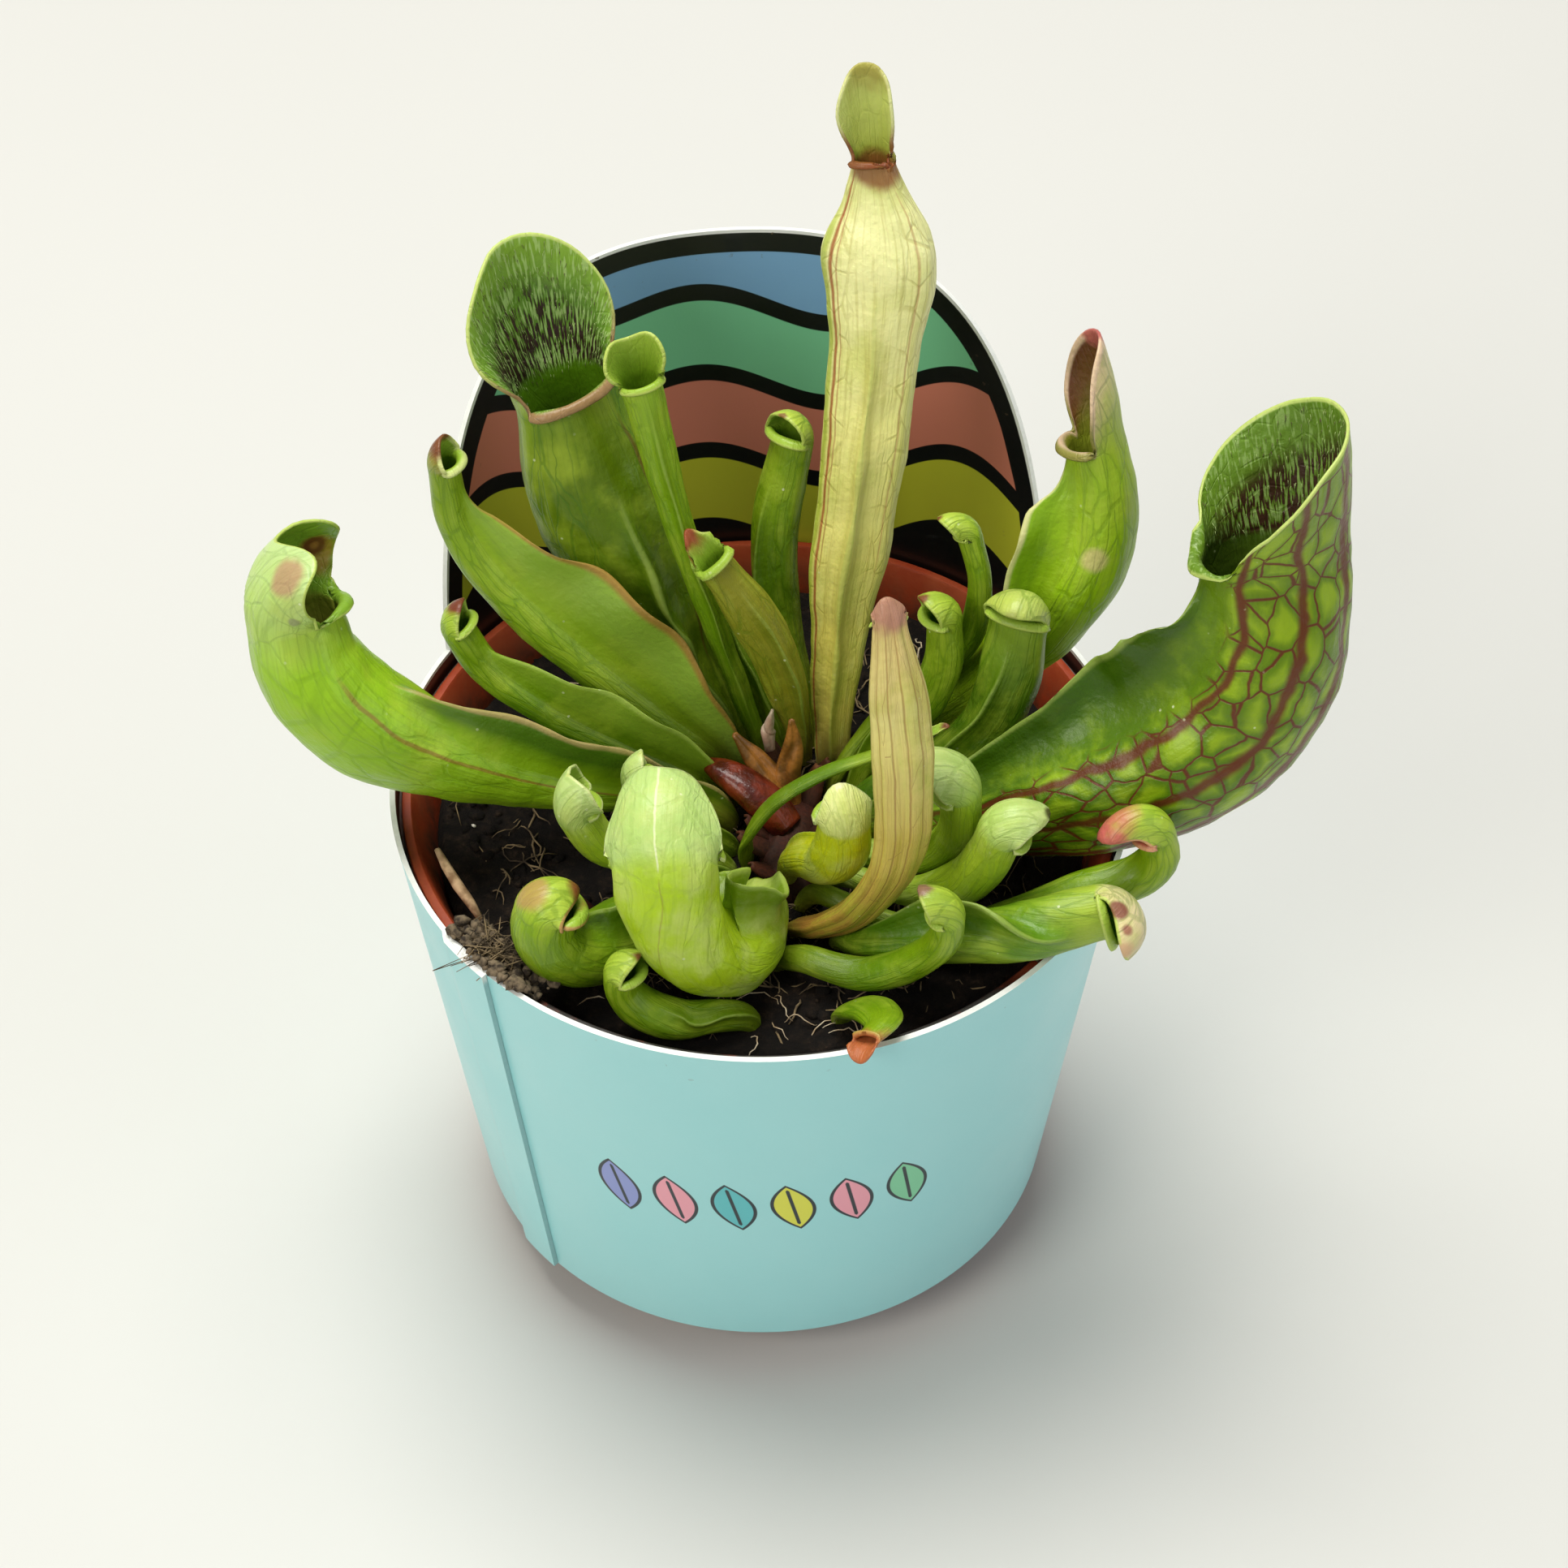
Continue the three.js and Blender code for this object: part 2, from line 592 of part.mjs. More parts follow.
function potGeometry() {
  const profile = [
    [0, 0],
    [potRadius(0) - 1, 0],
    [potRadius(1), 1],
    [potRadius(potRimFoot), potRimFoot],
    [potRimRadius, potRimFoot],
    [potRimRadius + 0.6, POT_HEIGHT - 0.6],
    [potRimRadius + 0.1, POT_HEIGHT],
    [potRimRadius - 0.9, POT_HEIGHT],
    [potRadius(potRimFoot) - POT_WALL + 0.6, potRimFoot + 1.2],
    [potRadius(potRimFoot) - POT_WALL, potRimFoot],
    [potRadius(POT_BASE) - POT_WALL, POT_BASE],
    [0, POT_BASE],
  ];
  let pot = toSolid(turned(profile));
  for (let i = 0; i < DRAIN_HOLES; i++) {
    const turn = ((i + 0.5) / DRAIN_HOLES) * 2 * Math.PI;
    const hole = new THREE.CylinderGeometry(DRAIN_RADIUS, DRAIN_RADIUS, 3 * POT_BASE, 12);
    hole.rotateX(Math.PI / 2);
    hole.translate(DRAIN_CIRCLE * Math.cos(turn), DRAIN_CIRCLE * Math.sin(turn), POT_BASE / 2);
    pot = pot.subtract(toSolid(hole));
  }
  return toGeometry(pot);
}

// Height of the card above the rim, at an angle in degrees from the middle of the panel.
function panelRise(degrees) {
  const across = Math.min(1, Math.abs(degrees) / PANEL_HALF_ANGLE);
  return PANEL_HEIGHT * (1 - across ** 3.4) ** 0.8;
}

// The sleeve: outer and inner faces of one sheet of card, with its two ends lapped and glued.
function sleeveGeometry() {
  const angles = [];
  for (let a = -180; a < 180; a += Math.abs(a - PANEL_MIDDLE) < PANEL_HALF_ANGLE + 2 ? 4 : 10) angles.push(a);
  angles.push(LAP_ANGLE - 0.7, LAP_ANGLE, LAP_ANGLE + LAP_WIDTH, LAP_ANGLE + LAP_WIDTH + 0.7);
  angles.sort((p, q) => p - q);
  const lapped = (a) => (a >= LAP_ANGLE && a <= LAP_ANGLE + LAP_WIDTH ? CARD : 0);
  const point = (a, z, out) => {
    const r = sleeveRadius(z) + out;
    return new THREE.Vector3(r * Math.cos(radians(a)), r * Math.sin(radians(a)), z);
  };
  const top = (a) => RIM_HEIGHT + panelRise(a - PANEL_MIDDLE);
  const rows = [
    (a) => point(a, SLEEVE_BOTTOM, lapped(a)),
    (a) => point(a, top(a), lapped(a)),
    (a) => point(a, top(a), -CARD),
    (a) => point(a, SLEEVE_BOTTOM, -CARD),
  ];
  return ringed(rows.map((row) => angles.map(row)));
}

// A ring-shaped closed surface from rows of points, the last row joined back to the first.
function ringed(rows) {
  const n = rows[0].length;
  const at = (i, j) => (i % rows.length) * n + (j % n);
  const faces = [];
  rows.forEach((row, i) =>
    row.forEach((_, j) => {
      faces.push(at(i, j), at(i, j + 1), at(i + 1, j + 1), at(i, j), at(i + 1, j + 1), at(i + 1, j));
    }),
  );
  const geometry = new THREE.BufferGeometry();
  const values = rows.flat().flatMap((p) => [p.x, p.y, p.z]);
  geometry.setAttribute("position", new THREE.Float32BufferAttribute(values, 3));
  geometry.setIndex(faces);
  return geometry;
}

// Low bumps of loose peat.
const peat = (x, y) =>
  0.5 * Math.sin(0.31 * x + 0.9) * Math.cos(0.27 * y) + 0.35 * Math.sin(0.62 * x - 0.45 * y + 2) - 0.3;

function soilGeometry() {
  const inside = (z) => potRadius(z) - POT_WALL - GAP;
  const bottom = POT_BASE + GAP;
  const rings = [[inside(bottom), bottom], [inside(SOIL_HEIGHT - 3), SOIL_HEIGHT - 3]].map(([r, z]) => {
    return circle(r).map(([x, y]) => new THREE.Vector3(x, y, z));
  });
  for (const share of [0.97, 0.84, 0.66, 0.46, 0.24]) {
    const level = SOIL_HEIGHT - 1.2 + 1.2 * smooth((1 - share) * 8);
    const outline = circle(inside(SOIL_HEIGHT - 3) * share);
    rings.push(outline.map(([x, y]) => new THREE.Vector3(x, y, level + peat(x, y))));
  }
  const middle = new THREE.Vector3(0, 0, SOIL_HEIGHT + peat(0, 0));
  return skin(new THREE.Vector3(0, 0, bottom), rings, middle, rings.length);
}

function circle(r, n = 24) {
  const turns = Array.from({ length: n }, (_, i) => (i / n) * 2 * Math.PI);
  return turns.map((t) => [r * Math.cos(t), r * Math.sin(t)]);
}

// The crown: a low oval mound, wider and deeper by grow.
function crownMound(grow) {
  const [cx, cy] = CROWN_CENTRE;
  const [hx, hy] = CROWN_HALF;
  const levels = [
    [0.6, -CROWN_DEPTH - grow],
    [1, -CROWN_DEPTH * 0.6],
    [1, 0.2],
    [0.82, CROWN_RISE * 0.7],
    [0.45, CROWN_RISE],
  ];
  const rings = levels.map(([k, z]) =>
    circle(1, 16).map(([x, y]) => {
      const out = k * (1 + 0.07 * Math.sin(5 * Math.atan2(y, x)));
      return new THREE.Vector3(cx + (hx + grow) * out * x, cy + (hy + grow) * out * y, SOIL_HEIGHT + z);
    }),
  );
  const low = new THREE.Vector3(cx, cy, SOIL_HEIGHT - CROWN_DEPTH - grow);
  const high = new THREE.Vector3(cx, cy, SOIL_HEIGHT + CROWN_RISE + 0.3);
  return toSolid(skin(low, rings, high, rings.length));
}

// One bract: a pointed blade that bows upwards from inside the crown.
function bract({ foot, tip, halfWidth }) {
  const start = new THREE.Vector3(foot[0], foot[1], SOIL_HEIGHT);
  const end = new THREE.Vector3(tip[0], tip[1], SOIL_HEIGHT + tip[2]);
  const bow = start.clone().lerp(end, 0.7);
  bow.z = SOIL_HEIGHT + 0.45 * tip[2];
  const curve = new THREE.QuadraticBezierCurve3(start, bow, end);
  const up = new THREE.Vector3(0, 0, 1);
  const rings = [0, 0.25, 0.5, 0.75, 0.93].map((t) => {
    const place = curve.getPoint(t);
    const side = new THREE.Vector3().crossVectors(curve.getTangent(t), up).normalize();
    const front = new THREE.Vector3().crossVectors(side, curve.getTangent(t));
    const width = halfWidth * Math.sin(Math.PI * mix(0.2, 0.95, t)) ** 0.8;
    return circle(1, 6).map(([x, y]) =>
      place.clone().addScaledVector(side, width * x).addScaledVector(front, -BRACT_HALF_THICKNESS * y),
    );
  });
  return toSolid(skin(start, rings, end, rings.length));
}

// Upright holes that the leaf bases stand in.
function sockets() {
  return LEAVES.map((leaf) => {
    const r = leaf.girth[0] + GAP + 0.7;
    const hole = new THREE.CylinderGeometry(r, r, BURIED + 8, 8).rotateX(Math.PI / 2);
    hole.translate(leaf.base[0], leaf.base[1], SOIL_HEIGHT + 8 / 2 - BURIED / 2 - 0.8);
    return toSolid(hole);
  }).reduce((all, one) => all.add(one));
}

const holes = sockets();
add("grow_pot", potGeometry(), COLOURS.pot, 0.45);
add("card_sleeve", sleeveGeometry(), COLOURS.card, 0.5);
add("soil", toGeometry(toSolid(soilGeometry()).subtract(crownMound(GAP)).subtract(holes)), COLOURS.soil, 1);
const crown = BRACTS.reduce((all, one) => all.add(bract(one)), crownMound(0).subtract(holes));
add("crown", toGeometry(crown), COLOURS.crown, 0.7);
for (const leaf of LEAVES) add(leaf.name, leafGeometry(leaf), COLOURS.leaf, 0.4);

export default part;
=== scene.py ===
# %% [markdown]
# # A trumpet pitcher plant in its shop pot
#
# The real object is a young pitcher plant, about 16 cm tall with its pot: a bunch of hollow leaves, each a
# tube that widens to a mouth with a hood behind it, in dark peat, in a thin plastic pot inside a card sleeve.
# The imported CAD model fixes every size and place. This lesson dresses it: finer leaves on the same lines, the
# printed card, loose peat, hairs and dry scales, and the colours. All sizes are given in millimetres.

import math
import random

import bpy
import numpy as np
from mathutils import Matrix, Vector, noise


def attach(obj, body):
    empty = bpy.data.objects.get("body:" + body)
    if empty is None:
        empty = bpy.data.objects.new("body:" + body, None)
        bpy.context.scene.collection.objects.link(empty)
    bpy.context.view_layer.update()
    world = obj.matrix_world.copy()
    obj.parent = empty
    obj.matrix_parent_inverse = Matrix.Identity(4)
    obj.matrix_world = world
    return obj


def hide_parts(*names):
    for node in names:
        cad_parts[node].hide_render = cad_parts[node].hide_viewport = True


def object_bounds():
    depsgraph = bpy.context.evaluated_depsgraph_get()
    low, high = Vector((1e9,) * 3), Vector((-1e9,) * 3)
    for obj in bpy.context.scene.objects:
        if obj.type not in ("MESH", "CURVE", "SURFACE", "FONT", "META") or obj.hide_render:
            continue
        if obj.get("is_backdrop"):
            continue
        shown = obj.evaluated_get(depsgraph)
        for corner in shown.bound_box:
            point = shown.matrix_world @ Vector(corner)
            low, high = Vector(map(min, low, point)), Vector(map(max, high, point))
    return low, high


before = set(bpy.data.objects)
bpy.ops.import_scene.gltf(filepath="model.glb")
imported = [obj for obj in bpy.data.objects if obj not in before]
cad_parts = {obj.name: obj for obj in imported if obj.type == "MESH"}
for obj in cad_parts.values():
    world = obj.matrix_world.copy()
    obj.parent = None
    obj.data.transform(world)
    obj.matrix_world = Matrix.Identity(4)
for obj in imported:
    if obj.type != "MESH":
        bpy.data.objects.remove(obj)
cad_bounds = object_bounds()
MM = 0.001
print("CAD nodes:", len(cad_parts))

# %% [markdown]
# ## Colours, nodes and materials
#
# Colours are written as sRGB hex, as a paint program shows them, and turned to linear light once, here. A
# material is a small network of nodes. One function adds a node with its settings and its links. Its output
# comes back as a signal, which plus, minus and the other signs work on by adding Math nodes, so a pattern
# reads like a sum. A finish is a material with its shader and the nodes that most materials need.

# %% Nodes
def linear(code):
    """An sRGB hex colour as linear red, green, blue and alpha."""
    values = [int(code[i : i + 2], 16) / 255 for i in (1, 3, 5)]
    return (*[v / 12.92 if v <= 0.04045 else ((v + 0.055) / 1.055) ** 2.4 for v in values], 1.0)


def per_mm(size):
    """Scale of a pattern on Object coordinates, in metres, for features of this many millimetres."""
    return 1 / (size * MM)


def feed(node, values=(), **sockets):
    """Sets a node's inputs: a signal is linked, a hex colour made linear, a number set."""
    for socket, value in [*enumerate(values), *sockets.items()]:
        entry = node.inputs[socket.replace("_", " ") if isinstance(socket, str) else socket]
        if isinstance(value, Signal):
            node.id_data.links.new(value.socket, entry)
        else:
            entry.default_value = linear(value) if isinstance(value, str) else value


OPTIONS = {"Math": "operation", "VectorMath": "operation", "MapRange": "interpolation_type"}


def add_node(nodes, kind, *values, out=0, **named):
    """Adds a node, fed in order by values. Names with a capital are sockets, the rest are its settings."""
    kind, _, option = kind.partition(" ")
    node = nodes.new("ShaderNode" + kind)
    if option:
        setattr(node, OPTIONS[kind], option)
    for key in [key for key in named if key[0].islower()]:
        setattr(node, key, named.pop(key))
    feed(node, values, **named)
    return node if out is None else Signal(node.outputs[out])


class Signal:
    """A node's output that can be counted with."""

    def __init__(self, socket):
        self.socket = socket

    def to(self, kind, *values):
        """A node that this signal and the other values go into."""
        return add_node(self.socket.id_data.nodes, kind, self, *values)

    def __add__(self, other):
        return self.to("Math ADD", other)

    def __sub__(self, other):
        return self.to("Math SUBTRACT", other)

    def __mul__(self, other):
        return self.to("Math MULTIPLY", other)

    def __truediv__(self, other):
        return self.to("Math DIVIDE", other)

    def __abs__(self):
        return self.to("Math ABSOLUTE")

    def fade(self, start, end, high=1.0, low=0.0):
        """From low at start to high at end, eased at both."""
        return self.to("MapRange SMOOTHSTEP", start, end, low, high)

    def blend(self, first, second):
        """Mixes two colours: the first where this signal is 0, the second where it is 1."""
        return self.to("MixRGB", first, second)


# %% Finishes
class Finish:
    """A new material with some of its shader's sockets set."""

    def __init__(self, name, **sockets):
        self.material = bpy.data.materials.new(name)
        self.material.use_nodes = True
        self.shader = self.material.node_tree.nodes["Principled BSDF"]
        feed(self.shader, **sockets)
        self.spot = self.add("TexCoord", out=3)

    def add(self, kind, *values, **named):
        return add_node(self.material.node_tree.nodes, kind, *values, **named)

    def noise(self, size, detail, **more):
        """Blotches of a size in millimetres."""
        return self.add("TexNoise", **{"Vector": self.spot, "Scale": per_mm(size), "Detail": detail, **more})

    def stretched(self, leaf_map, round_it, along_it, detail):
        """Strokes along a leaf, by how many times noise repeats round it and along it."""
        place = self.add("VectorMath MULTIPLY", leaf_map, (round_it, along_it, 0.0))
        return self.add("TexNoise", Vector=place, Scale=1.0, Detail=detail)

    def field(self, name):
        return self.add("Attribute", out=2, attribute_name=name)

    def split(self, vector):
        return [Signal(out) for out in self.add("SeparateXYZ", vector, out=None).outputs]

    def ramp(self, value, stops, kind="LINEAR"):
        """Colours by value, from a dictionary of places and hex colours."""
        node = self.add("ValToRGB", value, out=None)
        node.color_ramp.interpolation = kind
        marks = node.color_ramp.elements
        for i, (place, code) in enumerate(stops.items()):
            mark = marks[i] if i < 2 else marks.new(place)
            mark.position, mark.color = place, linear(code)
        return Signal(node.outputs[0])

    def done(self, colour, strength, deep, height, rough=None):
        """Ends it with its colour, a bump so many millimetres deep, and roughness where that varies."""
        if rough:
            feed(self.shader, Roughness=rough)
        bump = self.add("Bump", Strength=strength, Distance=deep * MM, Height=height)
        feed(self.shader, Base_Color=colour, Normal=bump)
        return self.material


# %% Helpers for pieces
def deselect_all():
    if bpy.context.object and bpy.context.object.mode != "OBJECT":
        bpy.ops.object.mode_set(mode="OBJECT")
    bpy.ops.object.select_all(action="DESELECT")


def pick(piece):
    """Selects one object alone and makes it the active one."""
    deselect_all()
    piece.select_set(True)
    bpy.context.view_layer.objects.active = piece


def apply_modifier(piece, kind, **settings):
    pick(piece)
    modifier = piece.modifiers.new(kind.lower(), kind)
    for key, value in settings.items():
        setattr(modifier, key, value)
    bpy.ops.object.modifier_apply(modifier=modifier.name)


def finish_piece(piece, name, material, replaced=()):
    """Names a piece, gives it its material, puts its place in its mesh and ties it to the plant's body."""
    pick(piece)
    bpy.ops.object.transform_apply(location=True, rotation=True, scale=True)
    piece.name = piece.data.name = name
    if material:
        piece.data.materials.clear()
        piece.data.materials.append(material)
    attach(piece, "root")
    if replaced:
        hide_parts(*replaced)
    print(name, len(piece.data.polygons), "faces")


def smooth_all(piece):
    piece.data.polygons.foreach_set("use_smooth", [True] * len(piece.data.polygons))


def mesh_piece(name, points, faces):
    """A mesh object from points in millimetres."""
    mesh = bpy.data.meshes.new(name)
    mesh.from_pydata((np.asarray(points, float) * MM).tolist(), [], faces)
    piece = bpy.data.objects.new(name, mesh)
    smooth_all(piece)
    bpy.context.scene.collection.objects.link(piece)
    return piece


def joined(parts):
    """The points and faces of many small parts as one."""
    points, faces = [], []
    for part_points, part_faces in parts:
        faces += [[corner + len(points) for corner in face] for face in part_faces]
        points += list(part_points)
    return points, faces


def tube_faces(rows, columns):
    """Faces of a closed body: a first point, rows of points that run round it, and a last point."""
    turn = [(j, (j + 1) % columns) for j in range(columns)]
    last = 1 + (rows - 1) * columns
    faces = [[0, 1 + k, 1 + j] for j, k in turn]
    faces += [[last + columns, last + j, last + k] for j, k in turn]
    for a in range(1, last, columns):
        faces += [[a + j, a + k, a + columns + k, a + columns + j] for j, k in turn]
    return faces


def field(piece, name, values):
    """A number at each point of the mesh, for a material to read."""
    made = piece.data.attributes.new(name, "FLOAT", "POINT")
    made.data.foreach_set("value", np.asarray(values, np.float32).ravel())


# %% [markdown]
# ## Camera, floor and light
#
# The camera looks down at about 47 degrees on the front of the pot, from half a metre, as the photographer
# did. The floor is plain and pale. A greenhouse roof gives broad, even daylight from above, so one wide lamp
# hangs over the plant, a smaller one stands to the front left, and a weak one fills the right.

# %% Camera
CAMERA_PLACE, CAMERA_AIM = Vector((0, -0.336, 0.431)), Vector((0.003, 0, 0.074))
CAMERA_LENS, CAMERA_SENSOR, NEAREST = 86.6, 36, 0.01


def aimed(thing, place, aim):
    """Stands a camera or a lamp at a place and turns it to look at another."""
    thing.location = place
    thing.rotation_euler = (Vector(aim) - Vector(place)).to_track_quat("-Z", "Y").to_euler()
    bpy.context.scene.collection.objects.link(thing)


scene = bpy.context.scene
camera = bpy.data.objects.new("photo_camera", bpy.data.cameras.new("photo_camera"))
camera.data.lens, camera.data.sensor_width, camera.data.clip_start = CAMERA_LENS, CAMERA_SENSOR, NEAREST
aimed(camera, CAMERA_PLACE, CAMERA_AIM)
scene.camera = camera
scene.view_settings.view_transform = "Standard"

# %% Floor and lamps
deselect_all()
bpy.ops.mesh.primitive_plane_add(size=8)
floor = bpy.context.object
floor.name = "pale_floor"
matt = Finish("matt_pale_floor", Roughness=0.75)
cloudy = matt.add("TexNoise", Vector=matt.spot, Scale=3.0, Detail=4.0)
feed(matt.shader, Base_Color=cloudy.blend("#d2d2cf", "#dadad7"))
floor.data.materials.append(matt.material)
floor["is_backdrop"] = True

# A lamp: its place in metres, its width, its power and its colour
LAMPS = {
    "roof_light": ((-0.15, 0.3, 1.2), 0.8, 14.0, "#fffdf6"),
    "front_left_light": ((-0.7, -0.75, 0.9), 0.6, 6.0, "#fffaf0"),
    "right_fill_light": ((0.9, -0.4, 0.6), 0.8, 2.0, "#f4f8ff"),
}
LAMP_AIM = (0, 0, 0.07)
for name, (place, size, power, colour) in LAMPS.items():
    lamp = bpy.data.objects.new(name, bpy.data.lights.new(name, "AREA"))
    lamp.data.shape, lamp.data.size, lamp.data.energy = "DISK", size, power
    lamp.data.color = linear(colour)[:3]
    aimed(lamp, place, LAMP_AIM)
world = bpy.data.worlds.new("pale_room")
world.use_nodes = True
feed(world.node_tree.nodes["Background"], Color="#f4f4f0", Strength=0.32)
scene.world = world

# %% [markdown]
# ## The pot
#
# A grow pot is vacuum formed or moulded from thin polypropylene: a tapered wall, a step and a rolled rim, and
# drain holes in its base. It could be one lathe profile spun round, but drawing it up ring by ring shows how
# each part follows the last: a circle is extruded to each height of the profile and resized to its radius.
# The drain holes are cut with a Boolean, as a drill would.

# %% Sizes shared with the CAD model
RIM_HEIGHT, SLEEVE_RIM_RADIUS, SLEEVE_BOTTOM, SLEEVE_TAPER, CARD = 76, 48, 8, 0.12, 0.7
PANEL_HEIGHT, PANEL_MIDDLE, PANEL_HALF_ANGLE = 47, 94, 57
LAP_ANGLE, LAP_WIDTH = -145, 9
POT_HEIGHT, POT_TAPER, POT_WALL, POT_BASE, POT_RIM_DROP, POT_RIM_STEP = 74, 0.18, 1, 1.6, 6, 2
DRAIN_RADIUS, DRAIN_CIRCLE, DRAIN_HOLES = 3, 21, 6
GAP, SOIL_HEIGHT, BURIED = 0.3, 69, 3.5
POT_RIM_FOOT = POT_HEIGHT - POT_RIM_DROP


def sleeve_radius(z):
    return SLEEVE_RIM_RADIUS - SLEEVE_TAPER * (RIM_HEIGHT - z)


POT_RIM_RADIUS = sleeve_radius(POT_RIM_FOOT) - CARD - GAP


def pot_radius(z):
    return POT_RIM_RADIUS - POT_RIM_STEP - POT_TAPER * (POT_RIM_FOOT - z)


# %% The pot's mesh
# Radius and height up the outside, over the rim and down the inside
POT_PROFILE = [
    (pot_radius(0) - 1, 0), (pot_radius(0.3) - 0.3, 0.3), (pot_radius(1), 1), (pot_radius(30), 30),
    (pot_radius(POT_RIM_FOOT - 1), POT_RIM_FOOT - 1), (pot_radius(POT_RIM_FOOT), POT_RIM_FOOT - 0.2),
    (POT_RIM_RADIUS - 0.3, POT_RIM_FOOT), (POT_RIM_RADIUS, POT_RIM_FOOT + 0.3),
    (POT_RIM_RADIUS + 0.6, POT_HEIGHT - 0.6), (POT_RIM_RADIUS + 0.45, POT_HEIGHT - 0.15),
    (POT_RIM_RADIUS + 0.1, POT_HEIGHT), (POT_RIM_RADIUS - 0.6, POT_HEIGHT),
    (POT_RIM_RADIUS - 0.9, POT_HEIGHT - 0.3),
    (pot_radius(POT_RIM_FOOT) - POT_WALL + 0.6, POT_RIM_FOOT + 1.2),
    (pot_radius(POT_RIM_FOOT) - POT_WALL, POT_RIM_FOOT),
    (pot_radius(POT_BASE) - POT_WALL, POT_BASE + 0.5), (pot_radius(POT_BASE) - POT_WALL - 0.5, POT_BASE),
]
POT_SEGMENTS, DRILL_SEGMENTS = 120, 24


def raise_rings(profile, segments):
    """A circle extruded up a profile of (radius, height) steps, with both ends closed."""
    deselect_all()
    radius, height = profile[0]
    bpy.ops.mesh.primitive_circle_add(vertices=segments, radius=radius * MM, location=(0, 0, height * MM))
    bpy.ops.object.mode_set(mode="EDIT")
    bpy.ops.mesh.select_mode(type="EDGE")
    bpy.ops.mesh.select_all(action="SELECT")
    for next_radius, next_height in profile[1:]:
        climb = {"value": (0, 0, (next_height - height) * MM)}
        bpy.ops.mesh.extrude_region_move(TRANSFORM_OT_translate=climb)
        share = next_radius / radius
        bpy.ops.transform.resize(value=(share, share, 1), center_override=(0, 0, next_height * MM))
        radius, height = next_radius, next_height
    bpy.ops.mesh.select_all(action="SELECT")
    bpy.ops.mesh.fill_holes(sides=0)
    bpy.ops.mesh.select_all(action="SELECT")
    bpy.ops.mesh.normals_make_consistent(inside=False)
    bpy.ops.object.mode_set(mode="OBJECT")
    return bpy.context.object


pot = raise_rings(POT_PROFILE, POT_SEGMENTS)
for i in range(DRAIN_HOLES):
    deselect_all()
    turn = math.radians((i + 0.5) * 360 / DRAIN_HOLES)
    place = (DRAIN_CIRCLE * MM * math.cos(turn), DRAIN_CIRCLE * MM * math.sin(turn), 0)
    bpy.ops.mesh.primitive_cylinder_add(
        vertices=DRILL_SEGMENTS, radius=DRAIN_RADIUS * MM, depth=6 * MM, location=place)
    drill = bpy.context.object
    apply_modifier(pot, "BOOLEAN", operation="DIFFERENCE", object=drill)
    bpy.data.objects.remove(drill)
pick(pot)
bpy.ops.object.shade_smooth_by_angle(angle=math.radians(35))

# %% [markdown]
# Polypropylene, moulded: a waxy half gloss that is scuffed where pots are stacked. Inside, below the rim, the
# terracotta is painted darker in patches as shade, which an ordinary noise pattern on Object coordinates
# gives, and wet peat cakes its front.

# %% The pot's material
plastic = Finish("moulded_polypropylene", IOR=1.49, Specular_IOR_Level=0.4)
_, behind, height = plastic.split(plastic.spot)
grain = plastic.noise(6, 6.0, Roughness=0.65)
colour = grain.fade(0.35, 0.7).blend("#a23c1c", "#b5512c")
# Painted shade: the terracotta darker in patches from the rim down, inside the pot
painted_shade_inside = height.fade(74.5 * MM, 67 * MM) * grain.fade(0.3, 0.62)
colour = painted_shade_inside.blend(colour, "#4a2a1c")
caked = behind.fade(-28 * MM, -36 * MM) * height.fade(66 * MM, 69 * MM)
colour = (caked * grain.fade(0.2, 0.4)).blend(colour, "#1c1511")
plastic.done(colour, 0.25, 0.2, plastic.noise(0.8, 2.0), grain.fade(0.2, 0.8, 0.6, 0.42))
finish_piece(pot, "grow_pot_moulded", plastic.material, ["grow_pot"])

# %% [markdown]
# ## The card sleeve
#
# One sheet of coated card is printed flat, cut out, rolled into an open cone round the pot and glued where
# its ends lap; a tall rounded panel rises behind the plant. So it is modelled as a sheet too: a grid with a
# column for every degree, wrapped round the cone, and given the card's thickness with Solidify. Its inner
# face and its cut edges get materials of their own. A UV map, laid out as the printer's flat sheet, carries
# the print, and a field holds how far each point is from the cut edge.

# %% The sleeve's mesh
def panel_rise(degrees):
    """Height of the card above the rim, at an angle from the middle of the panel."""
    across = min(1, abs(degrees) / PANEL_HALF_ANGLE)
    return PANEL_HEIGHT * (1 - across**3.4) ** 0.8


def sheet_along(degrees):
    """Millimetres along the flat sheet's rim line, from the front."""
    return (degrees + 90) * math.radians(1) * SLEEVE_RIM_RADIUS


SHEET_ROWS, STEP, FLANK_STEP, FAR_FROM_EDGE = 46, 1.0, 0.2, 60
sheet_angles = [LAP_ANGLE + 0.2]
while sheet_angles[-1] < LAP_ANGLE + 360 + LAP_WIDTH:
    near_flank = abs(abs(sheet_angles[-1] - PANEL_MIDDLE) - PANEL_HALF_ANGLE + 2) < 2.6
    sheet_angles.append(sheet_angles[-1] + (FLANK_STEP if near_flank else STEP))
deselect_all()
bpy.ops.mesh.primitive_grid_add(x_subdivisions=len(sheet_angles) - 1, y_subdivisions=SHEET_ROWS, size=1)
sleeve = bpy.context.object
points, sheet = [], []
for vertex in sleeve.data.vertices:
    degrees = sheet_angles[round((vertex.co.x + 0.5) * (len(sheet_angles) - 1))]
    top = RIM_HEIGHT + panel_rise(degrees - PANEL_MIDDLE)
    z = SLEEVE_BOTTOM + (top - SLEEVE_BOTTOM) * (vertex.co.y + 0.5)
    lapped = np.clip((degrees - LAP_ANGLE - 359.0) / 1.5, 0, 1) * (CARD + 0.05)
    radius, turn = sleeve_radius(z) + lapped, math.radians(degrees)
    points.append((radius * math.cos(turn), radius * math.sin(turn), z))
    sheet.append((sheet_along(degrees), z))
